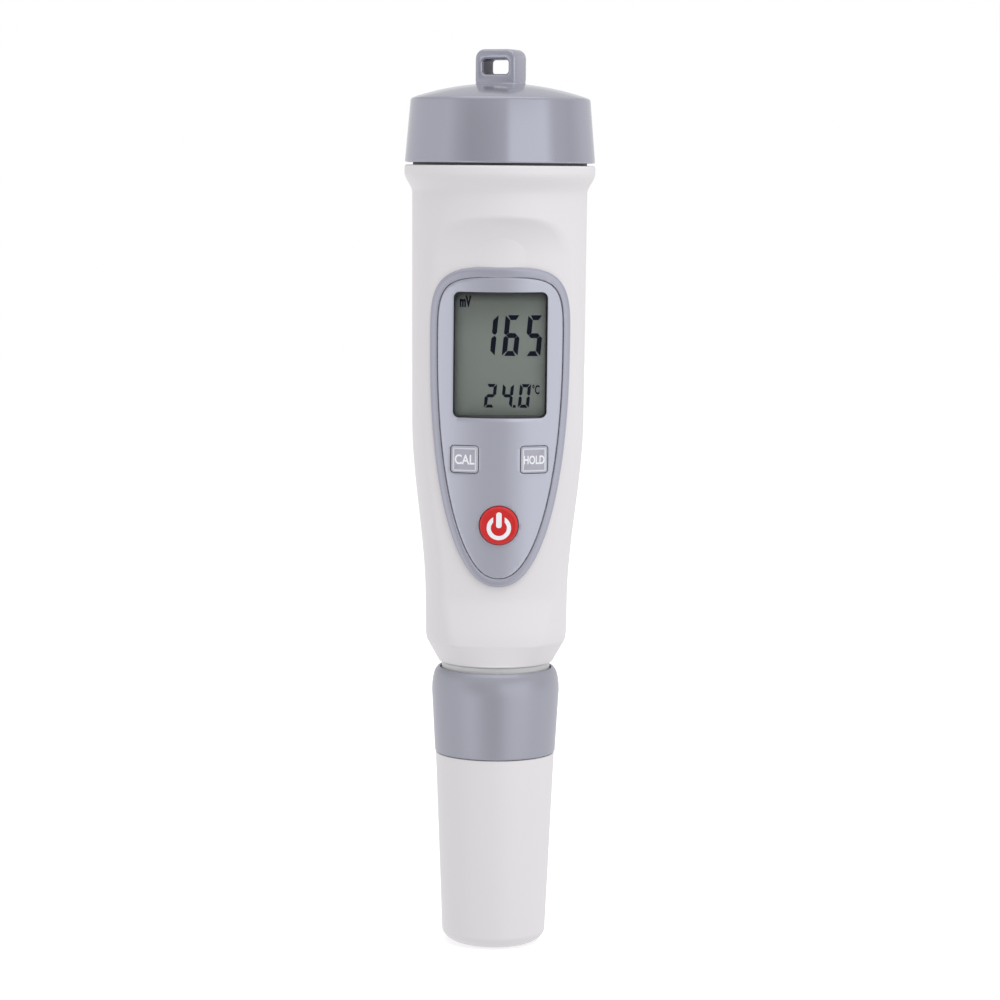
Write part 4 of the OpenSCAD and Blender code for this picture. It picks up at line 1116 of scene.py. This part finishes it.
class MakeDisplay(bpy.types.Operator):
    """Makes the display's glass and its reading"""
    bl_idname = "tester.display"
    bl_label = "Display"

    def execute(self, context):
        settings = chosen().display
        w, h = WINDOW_W + 2, WINDOW_H + 2.3
        glass = block("display_glass", (w, 0.9, h), (0, LCD_Y + 0.45, 0))
        bevelled(glass, 0.12, 2, angle=50)
        back = block("display_back", (w - 0.2, 0.86, h - 2.6), (0, LCD_Y + 1.37, 0))
        bevelled(back, 0.12, 2, angle=50)
        glass = joined([glass, back])
        on_front(glass, bend=False)
        done(glass, "housing", finish_of("display glass"), ["lcd_glass"])

        shapes = reading(settings.upper, (-4.45, 0.35, 5.05), -0.35, 3.3, 8.5, 1.0, 0.18)
        shapes += reading(settings.lower, (-3.3, 0.25, 3.8), -11.2, 2.3, 4.95, 0.64, 0.13)
        shapes.append(inked("bar", [(2.8, -11.2), (3.35, -11.2), (3.35, -10.65), (2.8, -10.65)]))
        shapes.append(lettering("words", "mV", (2.4, 2.4), (-7.25, 10.95), 0.045))
        shapes.append(lettering("words", "°C", (1.5, 2.0), (7.55, -7.35), 0.02))
        figures = joined(shapes)
        figures.name = figures.data.name = "display_figures"
        each_point(figures, lambda x, y, z: (x, y + LCD_Y - 0.02, z))
        on_front(figures, bend=False)
        done(figures, "housing", finish_of("display ink"))
        return {"FINISHED"}


# ---- Keys ----

KEY_W, KEY_LINE, POWER_D = 5.6, 0.32, 8.1
KEY_PROUD, POWER_PROUD = 0.9, 1.2
STEM_Y = drop(KEY_X + KEY_W / 2 + 0.8, -WALL - 0.6)


def key_foot(x, z, width):
    """The flange that keeps a key in the housing, and the stem that presses its switch."""
    if width:
        flange = block("flange", (width, 0.5, width), (x, WALL + 0.33, z), 0.8, axis=1)
    else:
        flange = rod("flange", POWER_D / 2 + 0.8, 0.5, (x, WALL + 0.33, z), axis=1, sides=64)
    bevelled(flange, 0.12, 2, angle=50)
    sliced(flange, 3.6, 0.6, x)
    on_front(flange)
    start = drop(abs(x), -WALL)
    stem = rod("stem", 1.4, STEM_Y - start, (x, (start + STEM_Y) / 2, z), axis=1, sides=32)
    bevelled(stem, 0.2, 2, angle=50)
    on_front(stem, bend=False)
    return [flange, stem]


def square_key(name, side, words, size, slot_body):
    """A square key with a fine raised frame and its legend."""
    settings = chosen().keys
    x = side * KEY_X
    key = block(name, (KEY_W, KEY_PROUD + WALL + 0.3, KEY_W), (x, (WALL + 0.3 - KEY_PROUD) / 2, KEY_ROW), 0.6,
                axis=1)
    bevelled(key, 0.25, 4, angle=50)
    key.data.materials.clear()
    key.data.materials.append(finish_of("key rubber"))
    key.data.materials.append(finish_of("key rim"))
    edit(key)
    select_faces(key, lambda f: f.normal.y < -0.99)
    bpy.ops.mesh.inset(thickness=max(0.02, settings.frame_inset - 0.25) * MM, depth=0)
    bpy.ops.mesh.inset(thickness=KEY_LINE * MM, depth=0)
    outer = KEY_W / 2 - max(0.27, settings.frame_inset)
    inner = outer - KEY_LINE
    select_faces(key, lambda f: f.normal.y < -0.99 and inner < max(
        abs(f.calc_center_median().x / MM - x), abs(f.calc_center_median().z / MM - KEY_ROW)) < outer)
    bpy.ops.mesh.extrude_region_move(TRANSFORM_OT_translate={"value": (0, -0.035 * MM, 0)})
    mesh = bmesh.from_edit_mesh(key.data)
    for face in mesh.faces:
        if face.select:
            face.material_index = 1
    bmesh.update_edit_mesh(key.data)
    clear()
    sliced(key, 2.8, 0.4, x)
    on_front(key)
    legend = lettering("legend", words, size, (x, KEY_ROW), 0.025)
    legend.data.materials.append(finish_of("legend ink"))
    each_point(legend, lambda px, py, pz: (px, py - KEY_PROUD - 0.012, pz))
    sliced(legend, 2.8, 0.4, x)
    on_front(legend)
    key = joined([key, legend, *key_foot(x, KEY_ROW, KEY_W + 1.6)])
    done(key, slot_body, None, [slot_body])


class MakeKeys(bpy.types.Operator):
    """Makes the two square keys and the round power key"""
    bl_idname = "tester.keys"
    bl_label = "Keys"

    def execute(self, context):
        square_key("key_cal", -1, "CAL", (4.1, 2.1), "cal_key")
        square_key("key_hold", 1, "HOLD", (4.35, 1.85), "hold_key")

        deep = POWER_PROUD + WALL + 0.3
        key = rod("key_power", POWER_D / 2, deep, (0, (WALL + 0.3 - POWER_PROUD) / 2, POWER_ROW),
                  axis=1, sides=96)
        bevelled(key, 0.5, 5, angle=50)
        key.data.materials.clear()
        key.data.materials.append(finish_of("power rubber"))
        key.data.materials.append(finish_of("legend ink"))
        edit(key)
        select_faces(key, lambda f: f.normal.y < -0.99)
        bpy.ops.mesh.inset(thickness=0.25 * MM, depth=0)
        bpy.ops.mesh.inset(thickness=0.15 * MM, depth=0)
        bpy.ops.transform.translate(value=(0, 0.07 * MM, 0))
        clear()
        sliced(key, 4.0, 0.4)
        on_front(key)
        face = POWER_PROUD - 0.07
        centre = POWER_ROW - 0.45
        ring = turned("ring", [(1.68, 0), (2.55, 0), (2.55, 0.03), (1.68, 0.03)], 96)
        each_point(ring, lambda x, y, z: (x, -z - face, y + centre))
        combine(ring, block("gap", (2.4, 4, 4), (0, -face, centre + 2)))
        bar = block("bar", (1.15, 0.03, 3.3), (0, -face - 0.015, centre + 1.65), 0.5, axis=1)
        symbol = joined([ring, bar])
        symbol.data.materials.clear()
        symbol.data.materials.append(finish_of("legend ink"))
        sliced(symbol, 2.6, 0.3)
        on_front(symbol)
        key = joined([key, symbol, *key_foot(0, POWER_ROW, 0)])
        done(key, "power_key", None, ["power_key"])
        return {"FINISHED"}


# ---- Ring nut and neck seal ----

LEDGE_Z = edge("probe_gasket", 0, 2) - 3.4


class MakeCollar(bpy.types.Operator):
    """Makes the ring nut that holds the probe, and the pale seal above it"""
    bl_idname = "tester.collar"
    bl_label = "Ring nut"

    def execute(self, context):
        shoulder = chosen().collar.shoulder
        low = NUT_TOP_Z - shoulder
        rim_r, bore = NUT_R - 1.25, NUT_R - 2.15
        arc = [(rim_r + (NUT_R - rim_r) * cos(radians(a)), low + (shoulder - 0.25) * sin(radians(a)))
               for a in range(0, 79, 6)]
        path = softened([
            (NUT_R - 2.1, NUT_Z, 0.15), (NUT_R - 0.75, NUT_Z, 0.45), (NUT_R - 0.1, low - 1.6, 6), *arc,
            (rim_r - 0.02, NUT_TOP_Z, 0.2), (NUT_R - 1.7, NUT_TOP_Z, 0.15), (NUT_R - 1.7, BODY_Z - 2.4),
            (bore, BODY_Z - 2.4, 0.1), (bore, LEDGE_Z + 1.4), (NECK_BORE_R + 0.2, LEDGE_Z + 1.4, 0.2),
            (NECK_BORE_R + 0.2, LEDGE_Z, 0.2), (NUT_R - 2.1, LEDGE_Z), (NUT_R - 2.1, NUT_Z + 0.5)], closed=True)
        nut = turned("collar", path, 192)
        thread = helix("thread", bore + 0.3, NECK_R + 0.35, 2.5, 1.5, NECK_Z + 1.9 + 1.25)
        nut = joined([nut, thread])
        done(nut, "ring_nut", finish_of("collar plastic"), ["ring_nut"], angle=32)

        seal_r = edge("collar_seal", 1, 0)
        seal = turned("neck_seal", softened([
            (NECK_R + 0.05, BODY_Z - 2.1, 0.2), (seal_r, BODY_Z - 2.1, 0.3), (seal_r, BODY_Z - 0.05, 0.35),
            (NECK_R + 0.05, BODY_Z - 0.05, 0.1)], closed=True), 144)
        done(seal, "housing", finish_of("pale silicone"), ["collar_seal"])
        return {"FINISHED"}


# ---- Storage cap ----

FLOOR_Z = 2.0


class MakeStorageCap(bpy.types.Operator):
    """Makes the storage cap with its round foot and its spigot"""
    bl_idname = "tester.storage"
    bl_label = "Storage cap"

    def execute(self, context):
        settings = chosen().storage
        side = lambda z: STORE_R - settings.taper * (STORE_Z - z) / STORE_Z
        foot_r, spigot_r = side(settings.foot_rise), NUT_R - 2.3
        inner_r = side(FLOOR_Z) - 1.5
        foot = [(foot_r - settings.foot_reach * (1 - cos(radians(a))),
                 settings.foot_rise * (1 + sin(radians(a)))) for a in range(-90, 1, 6)]
        path = softened([
            (0, 0), *foot, (STORE_R, STORE_Z, 0.25), (spigot_r, STORE_Z, 0.1), (spigot_r, SPIGOT_Z, 0.35),
            (spigot_r - 1.7, SPIGOT_Z, 0.3), (spigot_r - 1.7, STORE_Z - 1.5, 0.5),
            (side(STORE_Z - 4) - 1.5, STORE_Z - 4, 0.5), (inner_r, FLOOR_Z, 1.4), (0, FLOOR_Z)], step=9)
        cover = turned("storage_cover", path, 192)
        done(cover, "storage_cap", finish_of("white plastic"), ["protective_cap"], angle=32)

        low, high = edge("storage_sponge", 0, 2), edge("storage_sponge", 1, 2)
        r = edge("storage_sponge", 1, 0)
        pad = turned("sponge_pad", softened([(0, low), (r, low, 0.5), (r, high, 0.9), (0, high)]), 72)
        done(pad, "storage_cap", finish_of("sponge"), ["storage_sponge"])
        return {"FINISHED"}


# ---- Probe ----

class MakeProbe(bpy.types.Operator):
    """Makes the probe's body with its flange, its groove and its slotted guard"""
    bl_idname = "tester.probe"
    bl_label = "Probe"

    def execute(self, context):
        settings = chosen().probe
        tip = edge("probe_body", 0, 2)
        top = edge("probe_body", 1, 2)
        shaft_r, plug_r = 6.0, NECK_BORE_R
        flange_r = edge("probe_body", 1, 0)
        flange_z = LEDGE_Z + 1.4
        ring_z = (edge("probe_o_ring", 0, 2) + edge("probe_o_ring", 1, 2)) / 2
        ring_r = edge("probe_o_ring", 1, 0)
        plug_z = STORE_Z - 2.7
        path = softened([
            (0, tip + settings.guard), (shaft_r - 1.1, tip + settings.guard, 0.5), (shaft_r - 1.1, tip, 0.3),
            (shaft_r, tip, 0.5), (shaft_r, plug_z - (plug_r - shaft_r), 1.2), (plug_r, plug_z, 0.3),
            (plug_r, ring_z - 0.85, 0.1), (ring_r - 1.5, ring_z - 0.85, 0.2),
            (ring_r - 1.5, ring_z + 0.85, 0.2), (plug_r, ring_z + 0.85, 0.1), (plug_r, flange_z, 0.1),
            (flange_r, flange_z, 0.2),
            (flange_r, flange_z + 2, 0.2), (NECK_BORE_R - 0.3, flange_z + 2, 0.1),
            (NECK_BORE_R - 0.3, top, 0.3), (0, top)], step=12)
        body = turned("probe_shaft", path, 128)
        for turn in (45, 135):
            slot = block("slot", (16, settings.slot, 10), (0, 0, tip + settings.guard * 0.75 - 5), 0.9, axis=0)
            slot.rotation_euler.z = radians(turn)
            combine(body, settle(slot))
        bevelled(body, 0.15, 2, angle=60)
        done(body, "probe", finish_of("probe plastic"), ["probe_body"], angle=32)

        stem_z, stem_r = edge("sensor_stem", 0, 2), edge("sensor_stem", 1, 0)
        stem_top = tip + settings.guard + 0.5
        tube = turned("glass_tube", softened([
            (0, stem_z), (stem_r, stem_z, stem_r * 0.98), (stem_r, stem_top), (0, stem_top)], step=8), 64)
        done(tube, "probe", finish_of("probe glass"), ["sensor_stem"])
        band_low, band_high = edge("platinum_band", 0, 2), edge("platinum_band", 1, 2)
        band = turned("platinum_sleeve", softened([
            (stem_r, band_low, 0.05), (stem_r + 0.2, band_low, 0.1), (stem_r + 0.2, band_high, 0.1),
            (stem_r, band_high, 0.05)], closed=True), 64)
        done(band, "probe", finish_of("platinum"), ["platinum_band"])
        wire = turned("core_wire", [(0, band_low), (0.25, band_low), (0.25, stem_top), (0, stem_top)], 16)
        done(wire, "probe", finish_of("platinum"))
        return {"FINISHED"}


# ---- Pieces whose frame shape is right ----

KEPT = {
    "black rubber": ["cap_gasket", "probe_gasket", "probe_o_ring"],
    "nickel": ["contact_disc", "cell_1", "cell_2", "cell_3", "cell_4"],
    "steel": ["contact_spring", "frame_screws", "crystal", "temperature_pin"],
    "black plastic": ["battery_holder", "probe_socket", "cal_switch", "hold_switch", "power_switch"],
    "gold contact": ["top_contact", "bottom_contact", "socket_contacts", "probe_pins"],
    "red lead": ["battery_lead_red"], "black lead": ["battery_lead_black"], "blue lead": ["probe_leads"],
    "white frame": ["lcd_frame"], "pink silicone": ["zebra_strips"], "board green": ["main_board"],
    "chip black": ["mcu_chip", "amplifier_chip"], "tan ceramic": ["capacitors"],
    "pale silicone": ["keypad_membrane"], "white ceramic": ["reference_junction"],
}


class FinishInnerParts(bpy.types.Operator):
    """Gives the seals, batteries, contacts, board and probe fittings their materials"""
    bl_idname = "tester.inner"
    bl_label = "Inner parts"

    def execute(self, context):
        for finish, names in KEPT.items():
            for name in names:
                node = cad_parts[name]
                node.data.materials.clear()
                node.data.materials.append(finish_of(finish))
        return {"FINISHED"}


# ---- Stage ----

# The studio's brightness round the object: degrees from the camera, to the right, and brightness.
# The upper panels are seen in the battery cap, and the lower ones in the tilted front.
PANELS_HIGH = [(-180, 0.9), (-70, 0.95), (-55, 0.62), (-38, 0.4), (-18, 0.45), (5, 0.66), (11, 1.45), (56, 1.4),
               (68, 0.7), (95, 0.55), (120, 0.8), (180, 0.9)]
PANELS_LOW = [(-180, 1.1), (-75, 1.0), (-50, 1.4), (-38, 1.2), (-19, 0.6), (-8, 0.45), (5, 0.45), (13, 0.75),
              (25, 1.25), (50, 1.3), (75, 1.0), (180, 1.0)]


def mixed(nodes, links, factor, a, b):
    """One colour for another, as a factor goes from 0 to 1."""
    mix = nodes.new("ShaderNodeMix")
    mix.data_type = "RGBA"
    links.new(factor, mix.inputs["Factor"])
    for label, value in (("A", a), ("B", b)):
        if isinstance(value, tuple):
            mix.inputs[label].default_value = value
        else:
            links.new(value, mix.inputs[label])
    return mix.outputs["Result"]


def studio_world():
    """A white studio: white behind the object, and soft panels with dark gaps round it."""
    world = bpy.data.worlds.new("studio")
    bpy.context.scene.world = world
    world.use_nodes = True
    nodes, links = world.node_tree.nodes, world.node_tree.links
    nodes.clear()
    out = nodes.new("ShaderNodeOutputWorld")
    place = nodes.new("ShaderNodeTexCoord")
    parts = nodes.new("ShaderNodeSeparateXYZ")
    links.new(place.outputs["Generated"], parts.inputs[0])
    flip = nodes.new("ShaderNodeMath")
    flip.operation = "MULTIPLY"
    flip.inputs[1].default_value = -1
    links.new(parts.outputs["Y"], flip.inputs[0])
    azimuth = nodes.new("ShaderNodeMath")
    azimuth.operation = "ARCTAN2"
    links.new(parts.outputs["X"], azimuth.inputs[0])
    links.new(flip.outputs[0], azimuth.inputs[1])
    share = nodes.new("ShaderNodeMath")
    share.operation = "MULTIPLY_ADD"
    share.inputs[1].default_value = 1 / (2 * pi)
    share.inputs[2].default_value = 0.5
    links.new(azimuth.outputs[0], share.inputs[0])

    rings = []
    for panels in (PANELS_HIGH, PANELS_LOW):
        node = nodes.new("ShaderNodeValToRGB")
        ramp = node.color_ramp
        while len(ramp.elements) < len(panels):
            ramp.elements.new(0.5)
        for element, (angle, bright) in zip(ramp.elements, panels):
            element.position = angle / 360 + 0.5
            element.color = (bright, bright, bright * 1.01, 1)
        links.new(share.outputs[0], node.inputs["Fac"])
        rings.append(node.outputs["Color"])

    def height(low, high):
        span = nodes.new("ShaderNodeMapRange")
        span.interpolation_type = "SMOOTHSTEP"
        span.inputs["From Min"].default_value = low
        span.inputs["From Max"].default_value = high
        links.new(parts.outputs["Z"], span.inputs["Value"])
        return span.outputs["Result"]

    room = mixed(nodes, links, height(-0.08, 0.0), rings[1], rings[0])
    room = mixed(nodes, links, height(-0.75, -0.35), (1.0, 0.99, 1.0, 1), room)
    room = mixed(nodes, links, height(0.2, 0.35), room, (0.65, 0.65, 0.65, 1))
    room = mixed(nodes, links, height(0.75, 0.9), room, (1.2, 1.2, 1.2, 1))
    lit = nodes.new("ShaderNodeBackground")
    links.new(room, lit.inputs["Color"])
    seen = nodes.new("ShaderNodeBackground")
    seen.inputs["Color"].default_value = (1, 1, 1, 1)
    ray = nodes.new("ShaderNodeLightPath")
    mix = nodes.new("ShaderNodeMixShader")
    links.new(ray.outputs["Is Camera Ray"], mix.inputs["Fac"])
    links.new(lit.outputs[0], mix.inputs[1])
    links.new(seen.outputs[0], mix.inputs[2])
    links.new(mix.outputs[0], out.inputs["Surface"])


def soft_light(name, size, power, place):
    """A soft panel light that faces the middle of the object."""
    light = bpy.data.lights.new(name, "AREA")
    light.shape = "RECTANGLE"
    light.size, light.size_y = size
    light.energy = power
    lamp = bpy.data.objects.new(name, light)
    bpy.context.scene.collection.objects.link(lamp)
    lamp.location = place
    lamp.rotation_euler = (Vector((0, 0, 0.1)) - Vector(place)).to_track_quat("-Z", "Y").to_euler()
    lamp.visible_glossy = False
    return lamp


class MakeStage(bpy.types.Operator):
    """Makes the camera, the white floor and the studio light"""
    bl_idname = "tester.stage"
    bl_label = "Stage"

    def execute(self, context):
        settings = chosen().stage
        scene = context.scene
        scene.view_settings.view_transform = "Standard"
        clear()
        bpy.ops.mesh.primitive_plane_add(size=4)
        floor = context.object
        floor.name = "floor"
        floor.data.materials.append(finish_of("backdrop"))
        floor.visible_glossy = floor.visible_diffuse = False

        data = bpy.data.cameras.new("camera")
        data.sensor_width = 36
        data.lens = settings.lens
        data.clip_start, data.clip_end = 0.02, 20
        camera = bpy.data.objects.new("camera", data)
        scene.collection.objects.link(camera)
        around, far = settings.around, settings.distance * MM
        camera.location = (far * sin(around), -far * cos(around), settings.height * MM)
        look = (Matrix.Rotation(around + settings.aim, 4, "Z")
                @ Matrix.Rotation(pi / 2 - settings.pitch, 4, "X")
                @ Matrix.Rotation(settings.roll, 4, "Z"))
        camera.rotation_euler = look.to_euler()
        scene.camera = camera

        studio_world()
        soft_light("light_top", (0.6, 0.6), 4.0, (0.3, -0.4, 0.95))
        soft_light("light_left", (0.5, 0.8), 1.6, (-0.9, -0.45, 0.25))
        soft_light("light_right", (0.5, 0.8), 1.5, (0.9, -0.6, 0.25))
        return {"FINISHED"}


# ---- Add-on ----

class TesterPanel(bpy.types.Panel):
    """Lists what makes the water tester"""
    bl_idname = "TESTER_PT_make"
    bl_label = "Water tester"
    bl_space_type = "VIEW_3D"
    bl_region_type = "UI"
    bl_category = "Water tester"

    def draw(self, context):
        settings = chosen()
        for operator, group in STEPS:
            box = self.layout.box()
            box.operator(operator.bl_idname)
            if group:
                values = getattr(settings, group)
                for name in values.__annotations__:
                    box.prop(values, name)


STEPS = [
    (MakeStage, "stage"), (MakeShell, "shell"), (MakeLid, "lid"), (MakePanel, "panel"),
    (MakeDisplay, "display"), (MakeKeys, "keys"), (MakeCollar, "collar"), (MakeStorageCap, "storage"),
    (MakeProbe, "probe"), (FinishInnerParts, None),
]
CLASSES = [
    ShellSettings, LidSettings, PanelSettings, DisplaySettings, KeySettings, CollarSettings, StorageSettings,
    ProbeSettings, StageSettings, TesterSettings, *(operator for operator, _ in STEPS), TesterPanel,
]


def register():
    for cls in CLASSES:
        bpy.utils.register_class(cls)
    bpy.types.Scene.water_tester = PointerProperty(type=TesterSettings)


def unregister():
    del bpy.types.Scene.water_tester
    for cls in reversed(CLASSES):
        bpy.utils.unregister_class(cls)


def main():
    register()
    for operator, _ in STEPS:
        module, name = operator.bl_idname.split(".")
        getattr(getattr(bpy.ops, module), name)()


if __name__ == "__main__":
    main()
